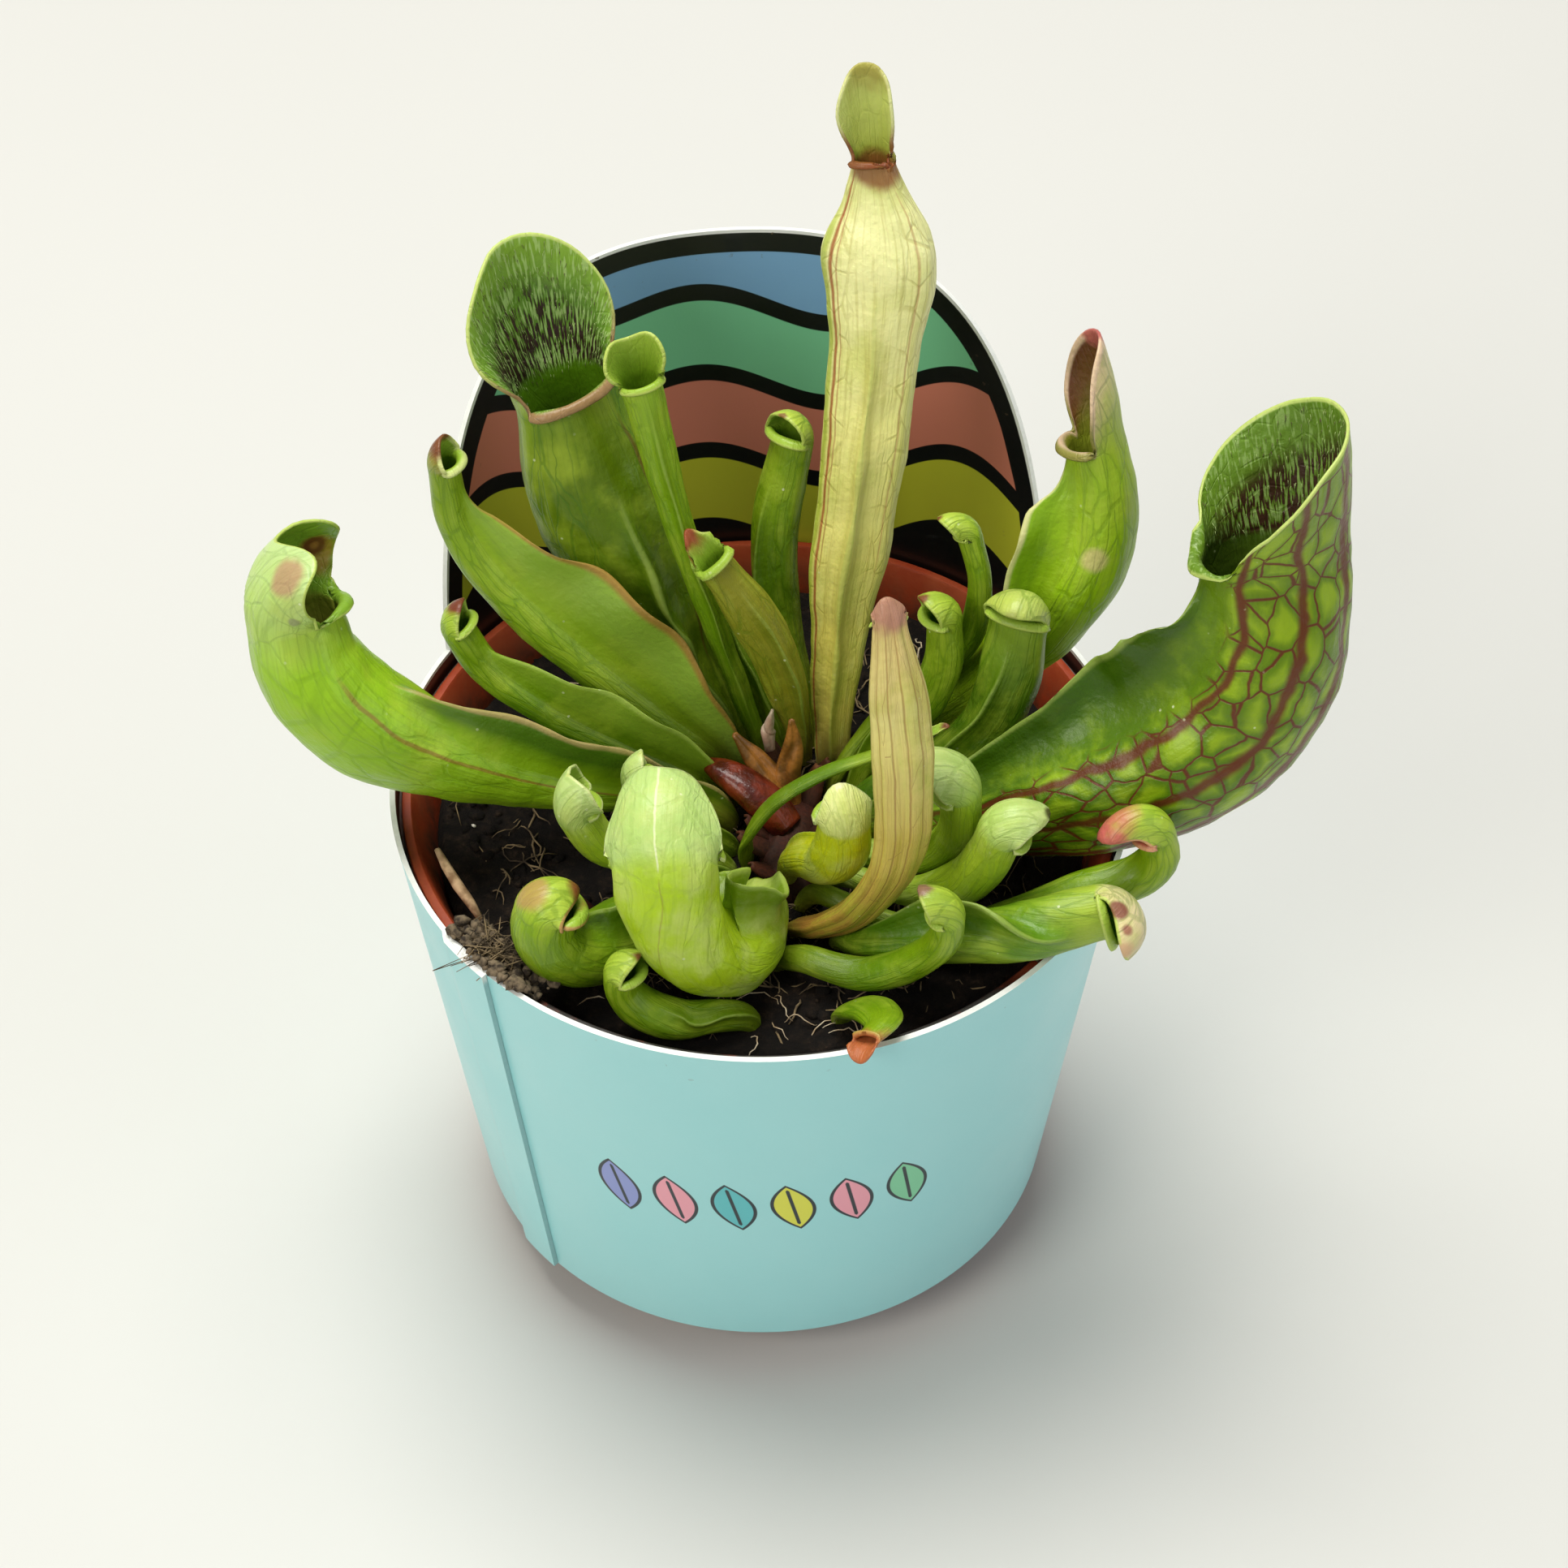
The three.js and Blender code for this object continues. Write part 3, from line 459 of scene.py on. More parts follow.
sleeve.data.vertices.foreach_set("co", (np.array(points) * MM).ravel())
SHEET_UNIT = 100
flat = sleeve.data.uv_layers.new(name="flat_sheet")
for loop in sleeve.data.loops:
    flat.data[loop.index].uv = [value / SHEET_UNIT for value in sheet[loop.vertex_index]]
cut_line = np.array([(sheet_along(a), RIM_HEIGHT + panel_rise(a - PANEL_MIDDLE)) for a in sheet_angles])
near = [min(np.linalg.norm(cut_line - place, axis=1).min(), FAR_FROM_EDGE) for place in np.array(sheet)]
field(sleeve, "from_edge", near)

# %% The card's thickness
pick(sleeve)
bpy.ops.object.mode_set(mode="EDIT")
bpy.ops.mesh.select_all(action="SELECT")
bpy.ops.mesh.normals_make_consistent(inside=False)
bpy.ops.object.mode_set(mode="OBJECT")
middle = sleeve.data.polygons[0]
if middle.normal.dot(middle.center * Vector((1, 1, 0))) < 0:
    sleeve.data.flip_normals()
for name in ("printed", "inner", "cut"):
    sleeve.data.materials.append(bpy.data.materials.new(name))
apply_modifier(sleeve, "SOLIDIFY", thickness=CARD * MM, offset=-1, material_offset=1, material_offset_rim=2)
bpy.ops.object.shade_smooth_by_angle(angle=math.radians(40))

# %% [markdown]
# Coated card, offset printed: flat inks under a thin gloss, with a white core that shows as a line wherever
# it is cut. Outside, a turquoise ground carries a row of plain leaf shapes with dark outlines. The panel's
# inner face, which looks at the plant, has bands of colour that roll like hills under a black border. Both
# are drawn with arithmetic on the flat sheet's millimetres: a band is a height plus a sine, cut by a colour
# ramp with hard stops.

# %% Inks shared by both faces
BLACK_INK, BLUE_BLACK, ROSE, MINT = "#0a0f10", "#10202a", "#f1a3b3", "#82d3a4"


def sheet_place(card):
    """Millimetres along and up the printer's flat sheet, and both as a vector."""
    sheet_map = card.add("UVMap", uv_map="flat_sheet")
    scaled = card.add("VectorMath MULTIPLY", sheet_map, (SHEET_UNIT, SHEET_UNIT, 1))
    along_mm, up_mm, _ = card.split(scaled)
    return along_mm, up_mm, scaled


def finish_card(card, colour, gloss):
    """The same coated surface on each face: rubbed patches in the gloss, specks of peat, fine tooth."""
    rubbed, specks = card.noise(14, 5.0), card.noise(1.6, 3.0)
    dirty = specks.fade(0.68, 0.74) * rubbed.fade(0.5, 0.62) * card.field("from_edge").fade(9.0, 0.0)
    colour = (dirty * 0.7).blend(colour, "#6d5a48")
    return card.done(colour, 0.12, 0.1, card.noise(0.35, 2.0), rubbed.fade(0.3, 0.7, gloss + 0.14, gloss))


# %% The outside: turquoise with a row of leaf shapes
LEAF_PITCH, LEAF_WIDE, LEAF_TALL, LEAF_ROW, LEAF_COUNT, LEAF_LEAN = 8.4, 5.6, 10.5, 41.0, 6, 0.22
card = Finish("coated_card_turquoise", IOR=1.5, Coat_Weight=0.15)
along_mm, up_mm, sheet_mm = sheet_place(card)
cell = (along_mm + LEAF_PITCH * LEAF_COUNT / 2) / LEAF_PITCH
number, above = cell.to("Math FLOOR"), up_mm - LEAF_ROW
across = abs((cell.to("Math FRACT") - 0.5) * LEAF_PITCH + above * LEAF_LEAN)
bow = (abs(above) / (LEAF_TALL / 2)).to("Math POWER", 2.0) * (-LEAF_WIDE / 2) + LEAF_WIDE / 2
depth = bow - across
in_row = number.to("Math GREATER_THAN", -0.5) * number.to("Math LESS_THAN", LEAF_COUNT - 0.5)
inks = card.ramp(number / LEAF_COUNT, {0: "#8f9bd8", 0.15: ROSE, 0.32: "#5cc3c9", 0.48: "#dfe04a", 0.65: ROSE,
                                       0.82: MINT}, "CONSTANT")
ground = card.add("TexNoise", Vector=sheet_mm, Scale=0.05, Detail=3.0).blend("#9edfe2", "#a9e4e6")
colour = (depth.fade(-0.45, -0.3) * in_row).blend(ground, BLUE_BLACK)
colour = (depth.fade(0.1, 0.22) * in_row).blend(colour, inks)
colour = (across.fade(0.34, 0.2) * depth.fade(0.7, 0.9) * in_row).blend(colour, BLUE_BLACK)
card_outside = finish_card(card, colour, 0.34)

# %% The inside: white card, and the panel's rolling bands
BORDER, BAND, BANDS, LOWEST_BAND, CUT_LINE = 3.4, 12.5, 5.0, 64.0, 0.55
card = Finish("coated_card_panel", IOR=1.5, Coat_Weight=0.15)
along_mm, up_mm, _ = sheet_place(card)
roll, swell = (along_mm * 0.19).to("Math SINE"), (along_mm * 0.085 + 1.3).to("Math SINE")
level = (up_mm + (roll * 2.6 + swell * 3.2) - LOWEST_BAND) / BAND
bands = card.ramp(level.to("Math FLOOR") / BANDS,
                  {0: BLACK_INK, 0.19: "#cfd23a", 0.39: "#dc8672", 0.59: MINT, 0.79: "#7fb0dc"}, "CONSTANT")
colour = level.to("Math PINGPONG", 0.5).fade(0.11, 0.095).blend(bands, BLACK_INK)
from_edge = card.field("from_edge")
colour = from_edge.fade(BORDER, BORDER - 0.15).blend(colour, BLACK_INK)
colour = from_edge.fade(CUT_LINE, CUT_LINE - 0.15).blend(colour, "#f2f5f4")
colour = up_mm.fade(73.2, 73.0).blend(colour, "#e9efee")
card_inside = finish_card(card, colour, 0.3)

# %% The cut edge
core = Finish("white_card_core", Roughness=0.8)
fibres, height = core.noise(0.7, 3.0), core.split(core.spot)[2]
inked = height.fade((RIM_HEIGHT - 0.6) * MM, (RIM_HEIGHT - 2) * MM, 0.8)
core.done(inked.blend(fibres.blend("#e3e6e2", "#fbfcfa"), "#8fc6c9"), 0.3, 0.1, fibres)
finish_piece(sleeve, "card_sleeve_printed", None, ["card_sleeve"])
for place, material in enumerate((card_outside, card_inside, core.material)):
    sleeve.data.materials[place] = material

# %% [markdown]
# ## The peat
#
# Peat substrate is a dark felt of crumbs, fibres and a little white perlite. A smooth bed would look like
# paint, so the bed gets the CAD model's low swells plus finer lumps from a noise function, and loose crumbs,
# fibres, perlite, fine roots and a twig lie on it. Each is modelled once and copied with its own turn, size
# and shape, with only a few faces, since there are hundreds.

# %% The bed
def peat_swell(x, y):
    return (0.5 * math.sin(0.31 * x + 0.9) * math.cos(0.27 * y)
            + 0.35 * math.sin(0.62 * x - 0.45 * y + 2) - 0.3)


SOIL_EDGE = pot_radius(SOIL_HEIGHT - 3) - POT_WALL - GAP
BED_SEGMENTS, BED_RING, BED_RINGS = 180, 0.95, 43


def peat_height(x, y):
    """Height of the bed at a place, 1.2 mm lower along the wall, with lumps."""
    share = math.hypot(x, y) / SOIL_EDGE
    level = min(1, max(0, (1 - share) * 8))
    lumps = 0.8 * noise.noise((x / 2.6, y / 2.6, 0.3)) + 0.5 * noise.noise((x / 1.1, y / 1.1, 4.0))
    return SOIL_HEIGHT - 1.2 + 1.2 * level * level * (3 - 2 * level) + peat_swell(x, y) + lumps


bed_profile = [(pot_radius(POT_BASE) - POT_WALL - GAP, POT_BASE + GAP), (SOIL_EDGE, SOIL_HEIGHT - 2.2)]
bed_profile += [(SOIL_EDGE - BED_RING * i, SOIL_HEIGHT) for i in range(1, BED_RINGS + 1)]
bed = raise_rings(bed_profile, BED_SEGMENTS)
for vertex in bed.data.vertices:
    if vertex.co.z > (SOIL_HEIGHT - 1) * MM:
        vertex.co.z = peat_height(vertex.co.x / MM, vertex.co.y / MM) * MM
smooth_all(bed)

# %% Peat, perlite, root and twig finishes
peat = Finish("damp_peat", Roughness=0.95, Specular_IOR_Level=0.25)
crumb = peat.noise(1.8, 8.0, Roughness=0.7)
colour = peat.ramp(crumb, {0.3: "#090706", 0.48: "#15100d", 0.6: "#261d16", 0.72: "#44352a"})
peat.done(peat.noise(16, 3.0).fade(0.45, 0.7, 0.5).blend(colour, "#0d0a09"), 1.0, 0.9, crumb)
finish_piece(bed, "peat_bed", peat.material, ["soil"])


def dry_stuff(name, dark, light, roughness, size):
    """Small dry things: two colours mixed by noise of a given size in millimetres."""
    finish = Finish(name, Roughness=roughness)
    mottle = finish.noise(size, 4.0)
    return finish.done(mottle.fade(0.35, 0.65).blend(dark, light), 0.4, 0.2, mottle)


# %% Loose crumbs and perlite
deselect_all()
bpy.ops.mesh.primitive_ico_sphere_add(subdivisions=1, radius=1)
pebble = bpy.context.object
PEBBLE_POINTS = np.array([v.co[:] for v in pebble.data.vertices])
PEBBLE_FACES = [list(f.vertices) for f in pebble.data.polygons]
bpy.data.objects.remove(pebble)
CRUMB_SIZES, PERLITE_SIZES = (0.25, 1.0), (0.2, 0.55)


def scatter(seed, count, sizes, place):
    """Points and faces of many small lumps, each one the pebble pushed out of shape."""
    draw = random.Random(seed)
    lumps = []
    for _ in range(count):
        centre = place(draw)
        size = draw.uniform(*sizes)
        stretch = np.array([draw.uniform(0.7, 1.4), draw.uniform(0.6, 1.1), draw.uniform(0.45, 0.9)])
        lump = PEBBLE_POINTS * stretch * [[draw.uniform(0.75, 1.25)] for _ in PEBBLE_POINTS] * size
        turn = draw.uniform(0, 2 * math.pi)
        c, s = math.cos(turn), math.sin(turn)
        spin = np.array([[c, -s, 0], [s, c, 0], [0, 0, 1]])
        lumps.append((lump @ spin.T + centre, PEBBLE_FACES))
    return joined(lumps)


def on_bed(draw):
    turn, reach = draw.uniform(0, 2 * math.pi), SOIL_EDGE * 0.985 * math.sqrt(draw.random())
    x, y = reach * math.cos(turn), reach * math.sin(turn)
    return np.array([x, y, peat_height(x, y) + 0.1])


def on_rim(*turns):
    """Places along the sleeve's rim and the pot's, between two angles in degrees."""
    def place(draw):
        turn = math.radians(draw.triangular(*turns))
        reach = draw.uniform(42.5, 47.6)
        z = 74.4 if reach < 46.5 else RIM_HEIGHT
        return np.array([reach * math.cos(turn), reach * math.sin(turn), z + draw.uniform(0, 1.2)])
    return place


dry_clump = dry_stuff("dry_peat_clump", "#2c231b", "#7a6a54", 0.95, 1.0)
grain_of_perlite = dry_stuff("perlite_grain", "#bdb7a8", "#f0ede2", 0.8, 0.5)
# Loose bits: their name, seed, count, sizes, where they lie and their finish
LOOSE = [
    ("peat_crumbs", 11, 1500, CRUMB_SIZES, on_bed, peat.material),
    ("rim_peat_left", 5, 300, CRUMB_SIZES, on_rim(-148, -126), dry_clump),
    ("rim_peat_right", 6, 110, CRUMB_SIZES, on_rim(-45, -30), dry_clump),
    ("perlite", 12, 46, PERLITE_SIZES, on_bed, grain_of_perlite),
]
for name, seed, count, sizes, place, material in LOOSE:
    finish_piece(mesh_piece(name, *scatter(seed, count, sizes, place)), name, material)

# %% Fibres, roots and a twig
def strand(path, thickness, sides=4):
    """Rings of points along a bent thread that tapers at both ends, and its faces."""
    path = np.array(path, float)
    rings = []
    for i, centre in enumerate(path):
        ahead = path[min(i + 1, len(path) - 1)] - path[max(i - 1, 0)]
        ahead = ahead / (np.linalg.norm(ahead) + 1e-9)
        first = np.cross(ahead, [0.1, 0.2, 1])
        first /= np.linalg.norm(first) + 1e-9
        second = np.cross(ahead, first)
        radius = thickness * (0.35 + 0.65 * math.sin(math.pi * (i + 0.5) / len(path)))
        for turn in np.linspace(0, 2 * math.pi, sides, endpoint=False):
            rings.append(centre + radius * (first * math.cos(turn) + second * math.sin(turn)))
    faces = []
    for i in range(0, len(rings) - sides, sides):
        for a, b in [(i + k, i + (k + 1) % sides) for k in range(sides)]:
            faces.append([b, a, a + sides, b + sides])
    faces += [list(range(sides)), list(range(len(rings) - sides, len(rings)))[::-1]]
    return np.array(rings), faces


def thread_on_bed(draw, length, bend, lift, steps=7, start=None):
    """A wandering path that lies on the peat, from a random place or from near a given one."""
    x, y, _ = on_bed(draw) * 0.93
    if start:
        x, y = start[0] + draw.uniform(-4, 4), start[1] + draw.uniform(-3, 3)
    heading = draw.uniform(0, 2 * math.pi)
    path = []
    for i in range(steps):
        path.append((x, y, peat_height(x, y) + 0.25 + lift * math.sin(math.pi * i / (steps - 1))))
        heading += draw.uniform(-bend, bend)
        x += length / steps * math.cos(heading)
        y += length / steps * math.sin(heading)
        reach = math.hypot(x, y)
        if reach > SOIL_EDGE - 1:
            x, y = x * (SOIL_EDGE - 1) / reach, y * (SOIL_EDGE - 1) / reach
    return path


FIBRE_COUNT, ROOT_COUNT, ROOT_STEPS, RIM_TUFT_REACH = 520, 8, 11, 45
draw = random.Random(21)
fibres = [strand(thread_on_bed(draw, draw.uniform(3, 11), 0.7, draw.uniform(0, 1.2)),
                 draw.uniform(0.07, 0.18)) for _ in range(FIBRE_COUNT)]
for turn, count in ((-138, 46), (-36, 16)):
    turn = math.radians(turn)
    middle = np.array([RIM_TUFT_REACH * math.cos(turn), RIM_TUFT_REACH * math.sin(turn), RIM_HEIGHT - 0.3])
    for _ in range(count):
        p, q, r = [middle + [draw.gauss(0, 2.2), draw.gauss(0, 2.2), draw.uniform(-0.6, 1.5)]
                   for _ in range(3)]
        fibres.append(strand([p, (p + q) / 2, q, (q + r) / 2, r], draw.uniform(0.06, 0.14)))
roots = [strand(thread_on_bed(draw, draw.uniform(8, 18), 0.9, draw.uniform(0.3, 1.4), ROOT_STEPS), 0.12)
         for _ in range(ROOT_COUNT)]
roots += [strand(thread_on_bed(draw, draw.uniform(5, 12), 0.8, draw.uniform(0.4, 1.6), ROOT_STEPS, spot), 0.1)
          for spot in ((-1, -37), (4, -38), (9, -37), (14, -36), (6, -35), (-3, -38)) for _ in range(2)]
TWIG = [(-41.4, -11.5, 74.4), (-40.2, -14, 74), (-38.6, -16.6, 73.2), (-37, -18.6, 72.2), (-35.6, -20.5, 71)]
for name, form, *finish in (
    ("peat_fibres", joined(fibres), "dry_peat_fibre", "#3c3022", "#8c7858", 0.9, 2.5),
    ("fine_roots", joined(roots), "pale_root", "#a58c6c", "#d9cbb0", 0.7, 3),
    ("twig", strand(TWIG, 0.75, 7), "weathered_twig", "#8a6a4a", "#c9a983", 0.85, 1.5),
):
    finish_piece(mesh_piece(name, *form), name, dry_stuff(*finish))

# %% [markdown]
# ## The crown
#
# The leaves rise from a short rhizome that is wrapped in the dry bases of older leaves: brown, papery scales
# that overlap. A mound is raised in rings like the pot, then roughened; the scales are pointed blades, each a
# strip of points with a bow, thickened with Solidify.

# %% Crown mound and scales
CROWN_CENTRE, CROWN_HALF, MOUND_SEGMENTS = (3.4, -5), (4.2, 12.5), 64
# Share of the half widths, and height
MOUND = [(0.6, -3.0), (1, -1.8), (1.02, -0.6), (1, 0.2), (0.94, 1), (0.82, 1.8), (0.64, 2.3), (0.45, 2.6),
         (0.25, 2.8), (0.08, 2.9)]
mound = raise_rings(MOUND, MOUND_SEGMENTS)
for vertex in mound.data.vertices:
    x, y, z = (value / MM for value in vertex.co)
    swell = 1 + 0.07 * math.sin(5 * math.atan2(y, x)) + 0.12 * noise.noise((x * 3, y * 3, z))
    rough = 0.5 * noise.noise((x * 4, y * 9, z * 0.7))
    vertex.co = Vector((CROWN_CENTRE[0] + CROWN_HALF[0] * x * swell,
                        CROWN_CENTRE[1] + CROWN_HALF[1] * y * swell, SOIL_HEIGHT + z + rough)) * MM
smooth_all(mound)

# A scale: foot, tip above the peat, half width in the middle, how far it bows up
SCALES = [
    ((2.8, -5.4), (-2.2, -5.6, 4.6), 1.8, 0.5), ((5.4, -1.6), (7.6, 2.2, 6.4), 1.5, 0.5),
    ((2.2, -8.0), (-3.2, -8.6, 4.6), 1.9, 0.6),
    ((5.6, -6.4), (9.2, -6.2, 4.4), 1.8, 0.6), ((3.0, -12.0), (-1.6, -13.6, 4.2), 1.6, 0.6),
    ((5.2, -11.6), (8.6, -12.8, 3.8), 1.5, 0.6), ((4.4, -15.4), (7.6, -17.4, 3.6), 1.3, 0.6),
    ((-20.5, -20.5), (-29, -18.5, 5.4), 2.6, 0.9), ((3.4, 5.2), (0.8, 8.0, 5.6), 1.4, 0.5),
    ((5.6, 2.6), (9.0, 4.2, 5.2), 1.3, 0.5),
]
SCALE_STEPS, SCALE_ACROSS, SCALE_THICK = 12, 6, 0.35


def scale_points(foot, tip, half_width, bow):
    """A strip of points: the middle line is a curve from foot to tip, the width a long oval with a point."""
    start = np.array([foot[0], foot[1], SOIL_HEIGHT + 0.6])
    end = np.array([tip[0], tip[1], SOIL_HEIGHT + tip[2]])
    bend = start + (end - start) * 0.7
    bend[2] = SOIL_HEIGHT + bow * tip[2]
    points = []
    for t in np.linspace(0, 1, SCALE_STEPS):
        middle = start * (1 - t) ** 2 + 2 * bend * t * (1 - t) + end * t**2
        ahead = 2 * (bend - start) * (1 - t) + 2 * (end - bend) * t
        side = np.cross(ahead, [0, 0, 1])
        side /= np.linalg.norm(side) + 1e-9
        front = np.cross(side, ahead / np.linalg.norm(ahead))
        width = half_width * (math.sin(math.pi * (0.2 + 0.75 * t)) ** 0.8)
        for k in np.linspace(-1, 1, SCALE_ACROSS):
            curl = 0.35 * half_width * (1 - k * k)
            points.append(middle + side * width * k + front * curl)
    return points


scale_faces = [[i * SCALE_ACROSS + k, i * SCALE_ACROSS + k + 1, (i + 1) * SCALE_ACROSS + k + 1,
                (i + 1) * SCALE_ACROSS + k] for i in range(SCALE_STEPS - 1) for k in range(SCALE_ACROSS - 1)]
scales = mesh_piece("dry_scales", *joined([(scale_points(*one), scale_faces) for one in SCALES]))
apply_modifier(scales, "SOLIDIFY", thickness=SCALE_THICK * MM, offset=0)

# %% [markdown]
# Dead leaf base: papery, lengthwise fibres, dark red-brown where it stays damp and orange-brown at the dry
# tips, hardly any gloss.

# %% The crown's material
dead = Finish("dry_leaf_base", Roughness=0.72, Specular_IOR_Level=0.3)
lengthwise = dead.add("Mapping", dead.spot, (0, 0, 0), (0, 0, 0), (1, 1, 0.25))
fibre, low = dead.noise(0.5, 4.0, Vector=lengthwise), (SOIL_HEIGHT + 1) * MM
colour = dead.split(dead.spot)[2].fade(low, low + 8 * MM).blend("#2c120a", "#7a4a28")
colour = dead.noise(4, 3.0).fade(0.42, 0.62, 0.7).blend(colour, "#4c1e10")
colour = fibre.fade(0.4, 0.7, 0.5).blend(colour, "#1c0c07")
dead.done(colour, 0.5, 0.2, fibre)
finish_piece(mound, "crown_mound", dead.material, ["crown"])
finish_piece(scales, "crown_dry_scales", dead.material)

# %% [markdown]
# ## The leaves
#
# A pitcher is one leaf grown into a tube: it rises from a narrow base, swells towards its mouth, has a thin
# keel or wing down the side that faces the crown, a rolled lip at the front of the mouth, and a hood that
# continues the tube's back and leans over the opening. Extruding rings by hand could give one tube, but not
# 28 that each keep the CAD model's exact line with a keel and a hood that grow out of it without a seam. So
# each leaf's skin is computed row by row from a few numbers: points along its middle line, half widths, the
# wing's and the hood's sizes. It is the same rule as in the CAD model with many more rows and columns, a
# thinner wall, a rounded edge and a little waviness.

# %% The middle line of a leaf
WALL, LIP_ROLL, WING_ANGLE, WING_HALF_THICKNESS, HOOD_WRAP, CLEFT = 0.42, 0.9, 0.4, 0.36, 1.95, 0.3


def unit(vectors):
    return vectors / (np.linalg.norm(vectors, axis=-1, keepdims=True) + 1e-12)


def smooth(value):
    value = np.clip(value, 0, 1)
    return value * value * (3 - 2 * value)


def mix(first, second, share):
    return first + (second - first) * share


def along(values, share):
    """Smooth value of a list of evenly spaced numbers at shares from 0 to 1."""
    values = np.asarray(values, float)
    place = np.clip(share, 0, 1) * (len(values) - 1)
    first = np.minimum(np.floor(place).astype(int), len(values) - 2)
    p, q, r, s = (values[np.clip(first + k, 0, len(values) - 1)] for k in (-1, 0, 1, 2))
    u = place - first
    return q + 0.5 * u * (r - p + u * (2 * p - 5 * q + 4 * r - s + u * (3 * (q - r) + s - p)))


def middle_line(points):
    """Place and direction by share of length on a curve that passes smoothly through the points."""
    knots = np.vstack([2 * points[0] - points[1], points, 2 * points[-1] - points[-2]])

    def place(share):
        share = np.clip(share, 0, 1) * (len(points) - 1)
        first = np.minimum(share.astype(int), len(points) - 2)
        w = (share - first)[:, None]
        p0, p1, p2, p3 = (knots[first + k] for k in range(4))
        d0, d1, d2 = (np.sqrt(np.linalg.norm(b - a, axis=1, keepdims=True))
                      for a, b in ((p0, p1), (p1, p2), (p2, p3)))
        m1 = ((p1 - p0) / d0 - (p2 - p0) / (d0 + d1) + (p2 - p1) / d1) * d1
        m2 = ((p2 - p1) / d1 - (p3 - p1) / (d1 + d2) + (p3 - p2) / d2) * d1
        return p1 + w * (m1 + w * (3 * (p2 - p1) - 2 * m1 - m2 + w * (2 * (p1 - p2) + m1 + m2)))

    steps = np.linspace(0, 1, 201)
    walked = np.linalg.norm(np.diff(place(steps), axis=0), axis=1)
    lengths = np.concatenate([[0], np.cumsum(walked)])

    def at(share):
        t = np.interp(np.clip(share, 0, 1) * lengths[-1], lengths, steps)
        return place(t), unit(place(t + 1e-4) - place(t - 1e-4))

    return at, lengths[-1]


def leaf_frames(leaf):
    """At each share of the length: the place, and the directions along, to the front and to the side."""
    x, y = leaf["base"]
    points = np.array([[x, y, -BURIED], [x, y, 0.5], *leaf["path"]], float) + [0, 0, SOIL_HEIGHT]
    line, length = middle_line(points)
    at_base, at_mouth = np.array(leaf["facing"][0], float), np.array(leaf["facing"][-1], float)

    def frames(share):
        share = np.atleast_1d(np.asarray(share, float))
        place, forward = line(share)
        facing = mix(at_base, at_mouth, smooth(2 * share - 1)[:, None])
        front = unit(facing - forward * np.sum(facing * forward, axis=1, keepdims=True))
        return place, forward, front, np.cross(forward, front)

    return frames, length


# %% Rows of the tube, with its wing
def tube_rows(leaf, frames, share, angle, inset=0.0):
    place, _, front, side = (value[:, None] for value in frames(share))
    wing_width, wing_place, wing_reach = leaf["wing"]
    width = along(leaf["girth"], share)[:, None]
    out = np.clip(1 - np.abs(angle) / WING_ANGLE, 0, 1)
    wing = wing_width * np.maximum(0, 1 - ((share - wing_place) / wing_reach) ** 2) ** 1.5
    wing = (wing * np.clip(8 * (1 - share), 0, 1))[:, None] * (inset == 0)
    pinch = wing / (wing + 1) * np.clip(2 * out, 0, 1)
    edge = np.sqrt(np.clip(np.abs(angle) / 0.06, 0, 1))
    across = mix((width - inset) * np.sin(angle), np.sign(angle) * WING_HALF_THICKNESS * edge, pinch)
    deep = (width * leaf["depth"] - inset) * np.cos(angle) + wing * out
    flutter = 0.09 * wing * out * np.sin(share * 26 + wing_width)[:, None]
    points = place + side * (across + flutter)[..., None] + front * deep[..., None]
    return points, pinch * smooth(out * 2)


# %% Rows of the mouth's edge: a rolled lip in front that turns into the hood behind
def edge_rows(leaf, frames, share, angle):
    place, forward, front, side = (value[0] for value in frames(1.0))
    a = float(along(leaf["girth"], 1.0))
    b = a * leaf["depth"]
    roll = LIP_ROLL * min(1, a / 5)
    high, half, bend, opened, notch, wrap, cleft = leaf["hood"] + [HOOD_WRAP, CLEFT][len(leaf["hood"]) - 5 :]
    q = share[:, None]
    turn = (np.pi - np.abs(angle)) * np.where(angle < 0, -1, 1)
    foot = a * wrap
    half_angle = np.pi - math.asin(foot / half) if foot < half else np.pi / 2
    tall = (high - 1) / (1 - math.cos(half_angle))
    curl = math.radians(bend) / high
    fan = half_angle * np.clip(np.abs(turn) / wrap, 0, 1) * np.sign(turn)
    edge_up = high - tall * (1 - np.cos(fan)) - notch * np.exp(-((turn / cleft) ** 2))
    up = edge_up * q
    radius = a * mix(1, opened, smooth(up / high))
    swing = mix(a * turn, max(half, 0.5 * a) * np.sin(fan), q) / radius
    inwards = radius * (1 - np.cos(swing)) * mix(leaf["depth"], 1, smooth(up / high))
    lean = curl * up
    ahead, over = (np.sin(lean) / curl, (1 - np.cos(lean)) / curl) if abs(curl) > 1e-4 else (up, 0 * up)
    hood = (place + side * (radius * np.sin(swing))[..., None]
            + forward * (ahead - inwards * np.sin(lean))[..., None]
            + front * (over - b + inwards * np.cos(lean))[..., None])
    outwards = 0.6 * roll * (1 - np.cos(np.pi * q))
    lip = (place + side * ((a + outwards) * np.sin(angle))[..., None]
           + front * ((b + outwards) * np.cos(angle))[..., None]
           + forward * (roll * (0.9 * np.sin(np.pi * q) + 0.3 * q) + 0 * angle)[..., None])
    hooded = smooth((wrap + 0.3 - np.abs(turn)) / 0.5)
    return mix(lip, hood, hooded[:, None]), hooded, edge_up


